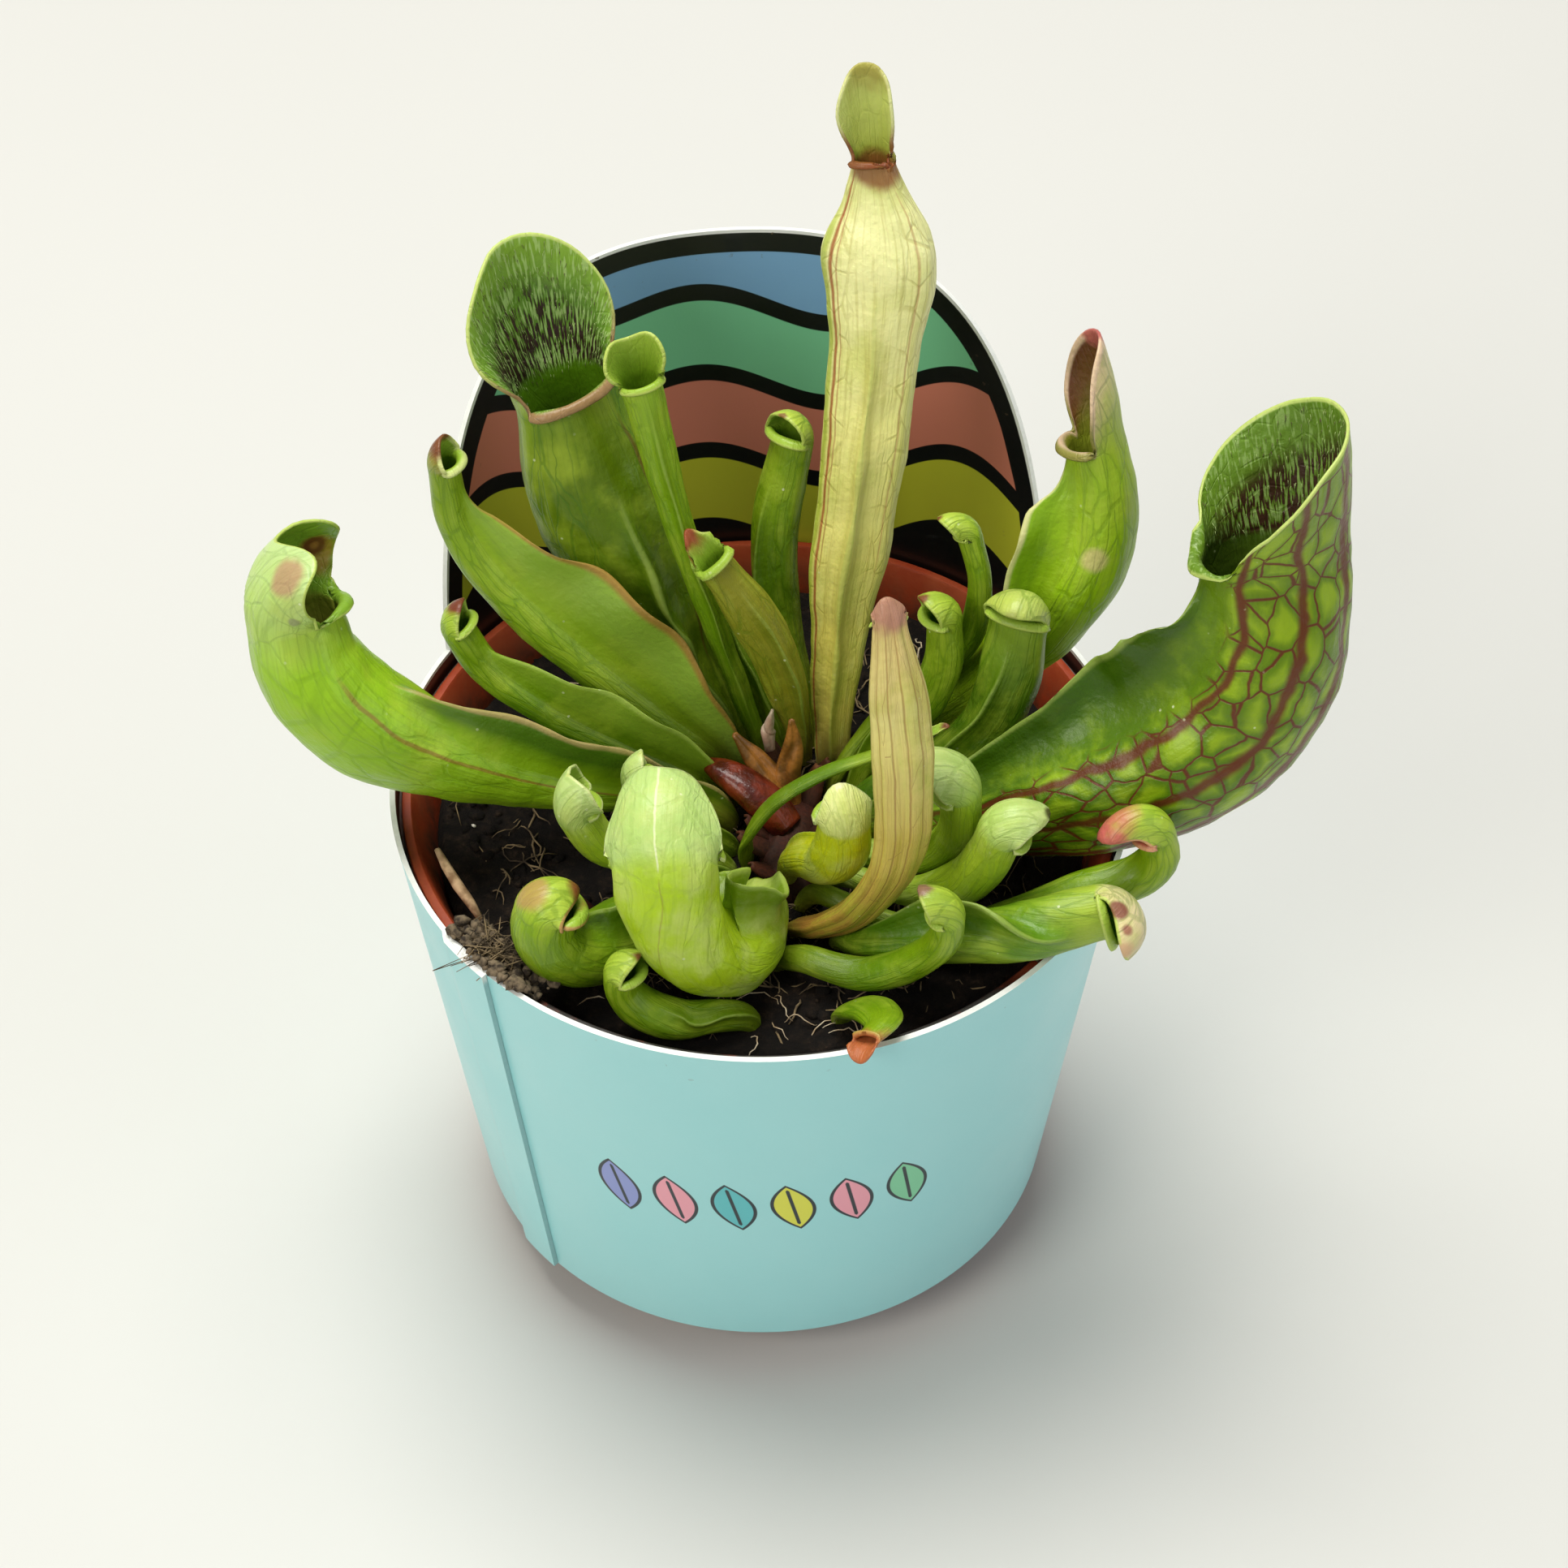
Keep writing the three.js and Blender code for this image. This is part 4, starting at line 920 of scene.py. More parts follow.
def normals(rows):
    """The outward direction at each point of rows of points that run round the leaf."""
    before, after = np.concatenate([rows[:1], rows[:-1]]), np.concatenate([rows[1:], rows[-1:]])
    round_it = np.roll(rows, -1, axis=1) - np.roll(rows, 1, axis=1)
    return unit(np.cross(round_it, after - before))


def dented(rows, outwards, amount):
    """The rows pushed in and out a little, as soft tissue is, by noise of about 8 mm and 3 mm."""
    flat = rows.reshape(-1, 3)
    push = np.array([noise.noise(p / 8) + 0.35 * noise.noise(p / 3) for p in map(Vector, flat)])
    return rows + outwards * (amount * push).reshape(rows.shape[:2])[..., None]


# %% [markdown]
# Between the dry scales lie the stubs of leaves that died back: one long, swollen, dark red and glossy, two
# that parted from one base and dried orange-brown, and a thin pale one. They could be sculpted; as they are
# only tapering bodies with a groove, each is rows of points round a middle line, as the leaves are.

# %% Stubs of dead leaves at the crown
# A stub: its name, points along its middle line, half widths, depth as a share of width, depth of its groove
STUBS = [
    ("red_leaf_stub",
     [[-8.4, 2.4, 7.2], [-5.6, 0.6, 7.4], [-2, -1.6, 6.4], [1.2, -3.6, 4.4], [3.4, -5.2, 2.2]],
     [0.5, 2.0, 2.6, 2.7, 2.2], 0.85, 0.12),
    ("split_stub_left", [[3.6, -1.4, 1.0], [2.2, -0.2, 4.2], [-0.4, 1.6, 7.2], [-3.4, 3.2, 11]],
     [1.6, 2.0, 1.6, 0.5], 0.85, 0.45),
    ("split_stub_right", [[3.4, -0.8, 1.0], [3.4, 0.6, 5.6], [4.2, 1.8, 10], [4.0, 2.8, 14]],
     [1.7, 1.8, 1.4, 0.4], 0.8, 0.45),
    ("pale_stub", [[1.2, 5.2, 6], [1.0, 5.6, 9.4], [1.5, 5.5, 13]], [0.6, 0.8, 0.9, 0.5], 0.6, 0.3),
]
STUB_ROWS, STUB_SIDES = 30, 28


def stub_piece(name, path, widths, deep, grooved):
    line, _ = middle_line(np.array(path, float) + [0, 0, SOIL_HEIGHT])
    shares = np.linspace(0, 1, STUB_ROWS)
    place, forward = line(shares)
    side = unit(np.cross(forward, [0, 0, 1]))
    top = np.cross(side, forward)
    angle = np.linspace(0, 2 * np.pi, STUB_SIDES, endpoint=False)
    width = along(widths, shares)[:, None]
    groove = 1 - grooved * np.exp(-((np.cos(angle) / 0.4) ** 2)) * (np.sin(angle) > 0)
    rows = (place[:, None] + side[:, None] * (width * np.cos(angle))[..., None]
            + top[:, None] * (width * deep * np.sin(angle) * groove)[..., None])
    rows = dented(rows, normals(rows), 0.3)
    points = np.vstack([place[0] - 0.3 * forward[0], rows.reshape(-1, 3), place[-1] + 0.3 * forward[-1]])
    return mesh_piece(name, points, tube_faces(STUB_ROWS, STUB_SIDES))


def stub_material(name, dark, light, rough):
    finish = Finish(name, Specular_IOR_Level=0.5, Coat_Weight=0.2)
    patch, fibre = finish.noise(3, 4.0), finish.noise(0.6, 3.0)
    colour = fibre.fade(0.5, 0.66, 0.35).blend(patch.fade(0.4, 0.62).blend(dark, light), dark)
    return finish.done(colour, 0.35, 0.3, fibre, patch.to("MapRange", 0.3, 0.7, rough, rough + 0.15))


red = stub_material("damp_red_leaf_stub", "#4c1206", "#7c2a10", 0.24)
orange = stub_material("dry_orange_leaf_stub", "#6a4410", "#a86c26", 0.45)
pale = stub_material("bleached_leaf_stub", "#c8a08c", "#e2cdb6", 0.55)
for (name, *form), material in zip(STUBS, (red, orange, orange, pale)):
    finish_piece(stub_piece(name, *form), "crown_" + name, material)

# %% [markdown]
# Every leaf's skin is one closed piece, and it carries numbers for its finish: how far along the leaf a point
# is, whether it's on the inner face, how far from the hood's edge, and how much of it is wing.

# %% One leaf's skin
# The leaves' points end at the CAD model's box
LEAF_ROOM = np.array(cad_bounds) / MM
FAR_INSIDE = 20.0


def ends(grid):
    """A grid's numbers in a row, with the first and the last once more for the end points."""
    return np.concatenate([[grid.flat[0]], grid.ravel(), [grid.flat[-1]]])


def leaf_angles(large):
    """Angles round a leaf from the front, close together on the wing."""
    wing = [0.012, 0.04, 0.08, 0.13, 0.2, 0.27, 0.34, 0.4]
    rest = np.linspace(0.4, np.pi, 26 if large else 16)[1:]
    half = np.array([*wing, *rest])
    return np.concatenate([[0], half, -half[-2::-1]])


def leaf_piece(leaf):
    """The leaf's closed skin, from its heel over its outside, round its edge and into its tube."""
    large = leaf["size"] == "large"
    frames, length = leaf_frames(leaf)
    angle = leaf_angles(large)
    mouth = float(along(leaf["girth"], 1.0))
    wall = min(WALL, 0.45 * mouth * leaf["depth"])
    high = leaf["hood"][0]
    shares = np.linspace(0, 1, int(length / (0.9 if large else 1.1)) + 12)
    tube, wing = tube_rows(leaf, frames, shares, angle)
    steps = np.linspace(0, 1, max(8, int(high / 0.7)))
    edge, hooded, edge_up = edge_rows(leaf, frames, steps, angle)
    ripple, waves, phase = leaf.get("ripple", [0.035 * min(high, 16), 4, 1])
    turn = (np.pi - np.abs(angle)) * np.where(angle < 0, -1, 1)
    wave = ripple * np.sin(waves * turn + phase) * hooded
    edge = edge + normals(edge) * (steps[:, None] ** 2 * wave)[..., None]
    body = np.concatenate([tube, edge[1:]])
    place_along = np.concatenate([shares, 1 + steps[1:]])
    calm = np.concatenate([smooth(shares * 6), np.ones(len(edge) - 1)])[:, None, None]
    body = body + calm * (dented(body, normals(body), 0.05 * max(leaf["girth"]) + 0.12) - body)
    count, deep = leaf.get("grooves", [9, 0.03])
    fade = np.concatenate([smooth(shares * 4), (1 - steps[1:]) ** 2])[:, None]
    fade = fade * smooth((np.abs(angle) - 0.3) / 0.4)
    groove = np.abs(np.sin(count / 2 * (angle - np.pi) + 0.9 * np.sin(place_along * 2.3)[:, None])) - 0.6
    body = body + normals(body) * (deep * mouth * fade * groove)[..., None]
    tube, edge = body[: len(tube)], body[len(tube) - 1 :]
    lining = (edge - normals(edge) * wall)[::-1]
    brim = (edge[-1] + lining[0]) / 2 + unit(edge[-1] - edge[-2]) * 0.4 * wall
    depths = np.linspace(1, 0.62, 14 if large else 8)[1:]
    narrow = along(leaf["girth"], depths)[:, None] * leaf["depth"]
    inset = np.minimum(wall + 0.9 * smooth((1 - depths) / 0.08)[:, None], 0.6 * narrow)
    hollow, _ = tube_rows(leaf, frames, depths, angle, inset)
    rows = np.concatenate([tube, edge[1:], brim[None], lining, hollow])
    heel = frames(0)[0][0] - [0, 0, 0.4]
    bottom = frames(0.6)[0][0]
    n, m = len(tube), len(edge)
    columns = len(angle)
    place = np.concatenate([shares, 1 + steps[1:], [2.0], 1 + steps[::-1], depths])
    inner = np.concatenate([np.zeros(n + m - 1), [0.5], np.ones(m + len(depths))])
    reach = np.concatenate([length * shares, length + high * steps[1:], [length + high],
                            length + high * steps[::-1], length * depths])
    tip = rows[n + m - 2][np.argmin(np.abs(np.abs(angle) - np.pi))]
    gap = np.cumsum(np.linalg.norm(np.diff(edge[::-1], axis=0), axis=2), axis=0)
    gap = np.concatenate([np.zeros((1, columns)), gap])[::-1]
    from_edge = np.full((len(rows), columns), FAR_INSIDE)
    from_edge[n - 1 : n + m - 1] = gap
    from_edge[n + m - 1] = 0
    from_edge[n + m : n + 2 * m] = gap[::-1]
    wings = np.zeros((len(rows), columns))
    wings[:n] = wing
    points = np.clip(np.vstack([heel, rows.reshape(-1, 3), bottom]), *LEAF_ROOM)
    piece = mesh_piece(leaf["name"] + "_grown", points, tube_faces(len(rows), columns))
    spread = np.ones(columns)
    field(piece, "share", ends(np.outer(place, spread)))
    field(piece, "inner", ends(np.outer(inner, spread)))
    field(piece, "from_edge", ends(from_edge))
    field(piece, "wing", ends(wings))
    field(piece, "from_tip", np.linalg.norm(points - tip, axis=1))
    around = np.where(angle < 0, angle + 2 * np.pi, angle) / (2 * np.pi)
    flat = piece.data.uv_layers.new(name="leaf_map")
    u = np.array([around[(v - 1) % columns] if 0 < v < len(points) - 1 else 0.5 for v in range(len(points))])
    v = ends(np.outer(reach, spread)) / SHEET_UNIT
    corners = np.array([loop.vertex_index for loop in piece.data.loops])
    flat_u = u[corners]
    for polygon in piece.data.polygons:
        span = slice(polygon.loop_start, polygon.loop_start + polygon.loop_total)
        if flat_u[span].max() - flat_u[span].min() > 0.55:
            flat_u[span] = np.where(flat_u[span] < 0.3, flat_u[span] + 1, flat_u[span])
    flat.data.foreach_set("uv", np.stack([flat_u, v[corners]], axis=1).ravel())
    return piece, edge

# %% [markdown]
# ## The leaf's finish
#
# A living pitcher: a waxy cuticle over soft, slightly see-through tissue, so it has a broad soft gloss, and
# its colour runs from a reddish base through green to a pale, yellower hood. The lower tube's darker green is
# partly its own colour and partly painted shade near the crown, and the inner face darkens down into the tube
# as painted shade in the hollow. Over that come a net of veins between lengthwise ribs, fine lengthwise
# fibres, a pale cut-like edge round the hood, a dry brown tip on many leaves, and in the hood's inner face
# dark streaks and hairs that point down. Everything that follows the surface is drawn on the leaf's own map,
# round and along it, or on the fields that its skin carries; blotches use Object coordinates. One function
# draws them all, and each leaf gives its own colours and amounts.

# %% The leaf material
PLAIN_LOOK = {
    # outer: the outside's colours up the leaf; the darker green low on the tube is partly the leaf's own colour
    # and partly painted shade near the crown
    "outer": {0: "#8a7335", 0.08: "#6f8610", 0.3: "#5c8006", 0.48: "#7ea00e", 0.56: "#94b624", 1: "#b8d050"},
    # inner: the inner face's colours, darker down into the tube as painted shade in the hollow
    "inner": {0.3: "#3c520c", 0.5: "#668a17", 0.6: "#88ac2a", 1: "#a9c648"}, "patch": ("#b4c83a", 0.4, 9),
    "fibre": ("#4f7010", 0.22), "vein": ("#577d12", 0.35), "net": (12, 15, 0.07), "ribs": (9, 0.045),
    "cell": ("#b9cf45", 0.25), "belt": (0.04, 0.12), "wing": ("#446a08", 0.6), "keel": ("#a9bd5c", 0.6),
    "rim": ("#b9cc62", 0.22), "lip": None, "tip": ("#7a4a2a", 1.3), "streaks": None, "seams": [], "spots": [],
    "rough": 0.36,
}


def leaf_material(name, look):
    """The finish of one leaf: the plain look, with what differs in its own."""
    look = {**PLAIN_LOOK, **look}
    leaf = Finish(name, IOR=1.45, Specular_IOR_Level=0.38, Coat_Weight=0.14, Coat_Roughness=0.18,
                  Subsurface_Weight=0.06, Subsurface_Scale=1.5 * MM, Subsurface_Radius=(0.5, 1.0, 0.2))
    leaf_map = leaf.add("UVMap", uv_map="leaf_map")
    around, reach, _ = leaf.split(leaf_map)
    share = leaf.field("share") / 2.0
    inner, from_edge, from_tip, wing = map(leaf.field, ("inner", "from_edge", "from_tip", "wing"))
    wobble, blotch = leaf.noise(7, 3.0), leaf.noise(look["patch"][2], 4.0, Roughness=0.6)
    threads = leaf.stretched(leaf_map, 95.0, 9.0, 3.0)
    sway, front = wobble - 0.5, around.to("Math PINGPONG", 0.5)
    shade = sway * 0.12 + share
    # The outside's colour up the leaf; its darker low tube is partly painted shade
    skin = leaf.ramp(shade, look["outer"])
    colour, amount, _ = look["patch"]
    skin = blotch.fade(0.45, 0.68, amount).blend(skin, colour)
    colour, amount = look["fibre"]
    skin = threads.fade(0.48, 0.68, amount).blend(skin, colour)
    colour, amount = look["wing"]
    skin = (wing * amount).blend(skin, colour)

    # Veins: edges of long cells, and ribs at even steps round the leaf, both a little crooked
    cells, rows, thin = look["net"]
    cell_place = leaf.add("CombineXYZ", sway * 1.1 + around * cells, reach * rows)
    net = leaf.add("TexVoronoi", Vector=cell_place, Scale=1.0, Randomness=0.85, feature="DISTANCE_TO_EDGE")
    netted = front.fade(*look["belt"])
    colour, amount = look["cell"]
    skin = (net.fade(0.06, 0.3, amount) * netted).blend(skin, colour)
    number, wide = look["ribs"]
    rib = (sway * 0.45 + around * number).to("Math PINGPONG", 0.5).fade(wide, wide * 0.2)
    veins = net.fade(thin, thin * 0.25).to("Math MAXIMUM", rib) * share.fade(0.03, 0.16) * netted
    colour, amount = look["vein"]
    skin = (veins * amount).blend(skin, colour)
    for centre, half, colour, amount, start, end in look["seams"]:
        line = abs(wobble * 0.03 + around - (centre + 0.015)).fade(half, half * 0.3)
        line = line * share.fade(start - 0.02, start + 0.02) * share.fade(end + 0.02, end - 0.02)
        skin = (line * amount).blend(skin, colour)
    colour, amount = look["keel"]
    skin = (front.fade(0.009, 0.003, amount) * wing).blend(skin, colour)

    # The inner face, darker down into the tube as painted shade in the hollow, with pale hairs and dark streaks
    # towards the mouth
    lining = leaf.ramp(shade, look["inner"])
    if look["streaks"]:
        colour, amount, start, end, spread, dense, hairy = look["streaks"]
        hairs = leaf.stretched(leaf_map, 170.0, 30.0, 1.0)
        lining = (hairs.fade(0.48, 0.38, hairy) * share.fade(start - 0.04, start)).blend(lining, "#bcd98a")
        middle = abs(around - 0.5)
        zone = (middle * 0.5 + share).fade(end, end - 0.12) * middle.fade(spread, spread * 0.6)
        zone = zone * share.fade(start - 0.03, start + 0.01)
        tuft = (blotch * 0.4 + hairs).fade(0.8 - dense, 0.84 - dense)
        lining = (tuft * zone * amount).blend(lining, colour)
    skin = inner.blend(skin, lining)

    # Pale dots, the hood's edge, a dry lip, a dry tip and spots at places above the peat
    dots = leaf.add("TexVoronoi", Vector=leaf.spot, Scale=per_mm(2.6), Randomness=1.0)
    skin = (dots.fade(0.09, 0.05) * blotch.fade(0.5, 0.62, 0.6)).blend(skin, "#e9efc8")
    colour, width = look["rim"]
    skin = from_edge.fade(width, width * 0.4, 0.9).blend(skin, colour)
    if look["lip"]:
        colour, width = look["lip"]
        skin = (from_edge.fade(width, width * 0.6) * front.fade(0.3, 0.22)).blend(skin, colour)
    colour, size = look["tip"]
    skin = (sway * (2.4 * size) + from_tip).fade(size, size * 0.45).blend(skin, colour)
    for x, y, z, size, colour, amount in look["spots"]:
        middle = (x * MM, y * MM, (SOIL_HEIGHT + z) * MM)
        off = sway * (1.2 * size * MM) + leaf.add("VectorMath DISTANCE", leaf.spot, middle, out=1)
        skin = off.fade(size * MM, size * 0.55 * MM, amount).blend(skin, colour)
    relief = veins * -0.35 + (threads * 0.7 + leaf.noise(0.9, 3.0))
    rough = blotch.to("MapRange", 0.3, 0.7, look["rough"] - 0.06, look["rough"] + 0.1)
    return leaf.done(skin, 0.5, 0.3, relief, rough)


# %% The leaves' sizes, as in the CAD model
def leaf(name, size, base, path, facing, girth, depth, wing, hood, **more):
    """A leaf's foot on the peat, points of its middle line above the peat, where its wing faces at the base
    and at the mouth, half widths, depth as a share of width, the wing's width, middle and reach, and the
    hood's height, half width, bend, spread, notch, wrap and cleft."""
    return dict(name=name, size=size, base=base, path=path, facing=facing, girth=girth, depth=depth,
                wing=wing, hood=hood, **more)


LEAVES = [
    leaf("pitcher_tall_hooded", "large", [-3, 9.6], [[-4.6, 11.4, 6], [-10, 14.4, 15.6], [-16.4, 17.6, 29],
         [-21.6, 20.6, 41], [-24.4, 23, 52]], [[0.3, -0.9, 0.4], [0.6, -0.75, 0.4]],
         [1.4, 2, 3.8, 7, 8.8, 8.4, 6.6], 0.75, [4, 0.42, 0.36], [21, 13.2, 10, 2.6, 0]),
    leaf("pitcher_slim_lidded", "large", [0.4, 9.2], [[-2, 9.6, 10], [-6, 10.4, 25], [-10.4, 12.4, 41],
         [-14.4, 15.6, 60]], [[0.2, -0.9, 0.3]], [1.1, 1.4, 1.7, 2, 2.6], 0.85, [1.4, 0.6, 0.5],
         [8, 6.4, 30, 1.8, 2]),
    leaf("leaf_slim_back", "small", [3, 10.8], [[1, 12, 7], [-3.4, 14.4, 17.4], [-6.6, 16.6, 28]],
         [[0.3, -0.9, 0.3]], [1, 1.6, 1.7, 1.2, 0.7], 0.5, [1.2, 0.45, 0.4], [3, 1.4, 10, 1.2, 0]),
    leaf("pitcher_back_hooked", "small", [6.2, 12.2], [[5.6, 14, 6], [3, 18, 17], [2, 22, 29],
         [4.4, 26, 41.6]], [[-0.7, -0.7, 0.2]], [1.2, 2.2, 3, 3.4, 3], 0.8, [1.5, 0.5, 0.4],
         [8, 6.8, 110, 1.25, 0]),
    leaf("pitcher_olive_pointed", "small", [5.6, 8.6], [[4.6, 8, 9], [1.6, 7.8, 22], [-3, 8, 32],
         [-5.6, 8.2, 36.6]], [[0.5, -0.8, 0.4]], [1.2, 2, 3, 3.3, 2.4], 0.55, [1.6, 0.5, 0.4],
         [5.5, 2.2, -10, 1.2, 0]),
    leaf("pitcher_tall_yellow", "large", [9.4, 7.6], [[9.4, 9, 8], [10.6, 14, 24], [13, 20, 42],
         [14.6, 26, 58], [14.8, 31, 70], [14, 34, 79]], [[-0.1, -0.9, 0.4]],
         [1.9, 2.6, 3.6, 4.6, 5.2, 5.5, 6, 7, 2.4], 0.5, [1.8, 0.4, 0.45], [13, 5.4, 15, 2, 0],
         grooves=[8, 0.09]),
    leaf("pitcher_left_winged", "large", [-3.4, 5.8], [[-7, 5.6, 6], [-14, 6, 12.6], [-24, 8, 22],
         [-33, 10, 32], [-38, 12, 41], [-39, 13, 49]], [[0.7, -0.1, 0.7]],
         [1.3, 1.8, 2.6, 3.2, 3.2, 2.8, 2.4], 0.85, [10.5, 0.5, 0.48], [5, 5, 60, 1.4, 0]),
    leaf("pitcher_left_hooked", "large", [-4, 1.8], [[-9, 1, 5.4], [-18, 0.6, 11.4], [-28, 1.5, 18],
         [-35, 3, 24], [-38, 4, 29.5]], [[0.65, -0.05, 0.75]], [1.2, 1.5, 1.8, 2, 2.3, 2.4], 0.9,
         [6, 0.5, 0.45], [7, 5, 110, 1.2, 0]),
    leaf("pitcher_left_arching", "large", [-4.4, -2.4], [[-8, -3.2, 5], [-17, -4.5, 8.4], [-27, -5.5, 11.6],
         [-39, -6, 17], [-50, -5.4, 23.6], [-56, -3.4, 30.4], [-57.4, -1, 36.4]],
         [[0.6, -0.05, 0.75], [0.95, 0.02, 0.3]], [1.4, 2, 2.6, 3.6, 5.4, 7.2, 7.8, 6.6], 0.9,
         [6.5, 0.42, 0.38], [25, 15, 118, 1.55, 12, 2.7, 0.7]),
    leaf("pitcher_right_upright", "large", [12.2, 4.8], [[18, 6.4, 7], [28, 8, 16], [37, 9.4, 25.6],
         [42, 11.4, 35.4], [43, 14, 43.4], [42, 16, 49]], [[-0.85, -0.3, 0.4], [-0.98, -0.18, 0.2]],
         [1.3, 2, 3.2, 4.4, 5.2, 5.2, 4.2], 0.9, [6, 0.78, 0.34], [15, 8.4, 14, 1.5, 0]),
    leaf("young_pitcher_right_thin", "small", [9, 3.2], [[14.6, 6.8, 9], [22, 7.6, 16.4], [27.4, 8, 24.6],
         [27.8, 9, 32.4], [26.4, 11, 38.6]], [[-1, -0.2, 0.2]], [0.9, 1.2, 1.5, 1.7, 1.8], 0.8,
         [1.6, 0.6, 0.3], [7, 4.6, 110, 1.2, 0]),
    leaf("young_pitcher_right_round", "small", [12, 1], [[14, 2.6, 6.6], [17, 3.2, 12], [21.2, 3, 17.4],
         [23.2, 3, 24], [23.2, 4.2, 30.6]], [[-0.9, -0.4, 0.2]], [1.1, 1.6, 2.1, 2.6, 2.7, 2.6], 0.85,
         [1.2, 0.5, 0.4], [8, 5.8, 110, 1.2, 0]),
    leaf("pitcher_right_dark", "large", [10.4, -2.2], [[14, -2.2, 5], [22, -2.2, 10], [28, -1.8, 16],
         [31, -0.4, 23], [32.6, 2.8, 32]], [[-0.7, -0.5, 0.4], [-0.35, -0.85, 0.3]],
         [1.2, 1.9, 3, 3.8, 4.1, 3.8], 0.7, [2, 0.6, 0.35], [11, 7.4, 150, 1.2, 0]),
    leaf("pitcher_big_veined", "large", [12, -6], [[14.6, -6.8, 5], [28, -10.2, 9.8], [42, -11, 15],
         [53.4, -10.2, 21.6], [60.4, -8, 30.2], [62.8, -5.4, 38.8], [62.4, -2.6, 46.6]],
         [[-0.7, 0.25, 0.65], [-0.93, -0.2, 0.28]], [1.5, 2.4, 4.2, 6.6, 8.4, 9.2, 9, 8.4], 1.1,
         [8.4, 0.72, 0.66], [19, 21, 4, 1.5, 0, 2.85], ripple=[0.25, 3, 1]),
    leaf("pitcher_centre_amber", "large", [4.4, -21.2], [[7.4, -24.4, 4.6], [12.4, -26.6, 10.4],
         [16.6, -26.6, 20], [17.2, -23.6, 32], [16.4, -20.2, 42], [15.4, -17, 50]], [[-0.2, 0.7, 0.3]],
         [1.5, 2.4, 3, 3.5, 3.8, 3.7, 2], 0.6, [1.4, 0.5, 0.45], [4, 2.8, 30, 1.2, 0], grooves=[7, 0.16]),
    leaf("young_pitcher_front_round", "small", [3.2, -13.4], [[3.8, -14.2, 5], [5.6, -16.8, 9],
         [8.4, -19.6, 11.6], [10, -21.2, 16.4], [10.2, -21.6, 21]], [[-0.3, 0.8, 0.5]],
         [1, 1.5, 2.4, 3.3, 3.7, 3.2], 0.9, [1, 0.5, 0.4], [8, 5.6, 95, 1.2, 0]),
    leaf("young_pitcher_mitten", "small", [9.6, -9.6], [[12.8, -12, 4.8], [19, -14.8, 6.6], [23, -16, 10.6],
         [24.8, -16.6, 15.6], [24.6, -16.6, 21.4]], [[-1, -0.1, 0.2]], [1.1, 1.5, 2, 2.4, 3, 3.2], 0.85,
         [1, 0.5, 0.4], [12, 7.2, 100, 1.3, 0]),
    leaf("young_pitcher_pale_beak", "small", [7.8, -13.4], [[10.6, -15.2, 4], [18.6, -19.2, 5.4],
         [25.4, -21.6, 10], [28.2, -22.2, 15.4], [29.4, -22, 19.4]], [[1, 0.1, 0.1]],
         [1.1, 1.4, 1.8, 2.6, 3.3, 3.4], 0.85, [0, 0.5, 0.4], [11, 6.2, 125, 1.15, 0]),
    leaf("young_pitcher_red_tip", "small", [5, -17.4], [[7, -18.6, 4.6], [15, -22.8, 4.2], [23, -25.2, 4.4],
         [32, -25, 7.4], [40, -24, 10.4], [46.8, -23.2, 12.6], [49.2, -23, 15.8], [48.8, -22.4, 19]],
         [[-0.95, -0.3, 0]], [0.9, 1.3, 1.5, 1.8, 2.2, 2.6, 2.8, 2.6], 0.9, [0, 0.5, 0.4],
         [14, 5.6, 155, 1.15, 0]),
    leaf("pitcher_right_broad", "large", [9.8, -22.8], [[13.4, -26.8, 4.6], [22.4, -29.8, 8.2],
         [32, -30.8, 11], [41.6, -30.2, 13.6]], [[-0.5, 0.15, 0.85], [-0.2, -0.9, 0]],
         [1.1, 2.2, 3.1, 3.7, 3.8], 0.85, [5, 0.58, 0.34], [15, 7.6, 160, 1.2, 0]),
    leaf("young_pitcher_front_arched", "small", [1.8, -26.6], [[5, -29.2, 4.2], [12.4, -32.4, 5],
         [18.6, -34, 9], [22.2, -34.8, 14.2], [22.6, -34.4, 17.6]], [[-1, 0, 0.3]],
         [1, 1.6, 2, 2.2, 2.4, 2.4], 0.85, [0, 0.5, 0.4], [9, 6.2, 110, 1.2, 0]),
    leaf("pitcher_front_pale", "large", [-0.4, -19.8], [[-0.2, -22, 6.4], [-2, -28, 7.2], [-5.6, -32, 8],
         [-9.2, -33.2, 12.6], [-11.2, -32.2, 18.4], [-11.6, -31, 22.4]],
         [[0.55, 0.6, 0.6], [0.05, 0.97, 0.1]], [1.6, 2.6, 4.3, 5.6, 6.1, 6.4, 6.4], 0.85, [7, 0.56, 0.38],
         [20, 10.4, 105, 1.24, 2.5]),
    leaf("pitcher_front_curled", "large", [-3.8, -15.8], [[-8.4, -19.4, 5], [-15, -25, 5.8], [-21, -29, 6],
         [-25, -30.6, 8.2], [-26.8, -30.8, 11.4], [-26.4, -30, 14.4]], [[0.8, 0.4, 0.5]],
         [1.3, 2.6, 4.2, 4.7, 4.8, 4.6, 4.2], 0.9, [4.6, 0.5, 0.4], [10.5, 7.4, 140, 1.2, 0]),
    leaf("young_pitcher_front_low", "small", [-1.6, -36], [[-5, -37.4, 3.2], [-10, -38, 3.2],
         [-14.6, -37.4, 4.4], [-17, -36.6, 7], [-17.2, -36.2, 9.6]], [[0.85, -0.3, 0.3]],
         [1, 1.7, 2.2, 2.6, 2.8, 2.6], 0.85, [0.8, 0.4, 0.3], [7, 5.2, 110, 1.2, 0]),
    leaf("young_pitcher_left_lobed", "small", [-4.4, -11.2], [[-8, -13, 5], [-14.4, -15, 8.4],
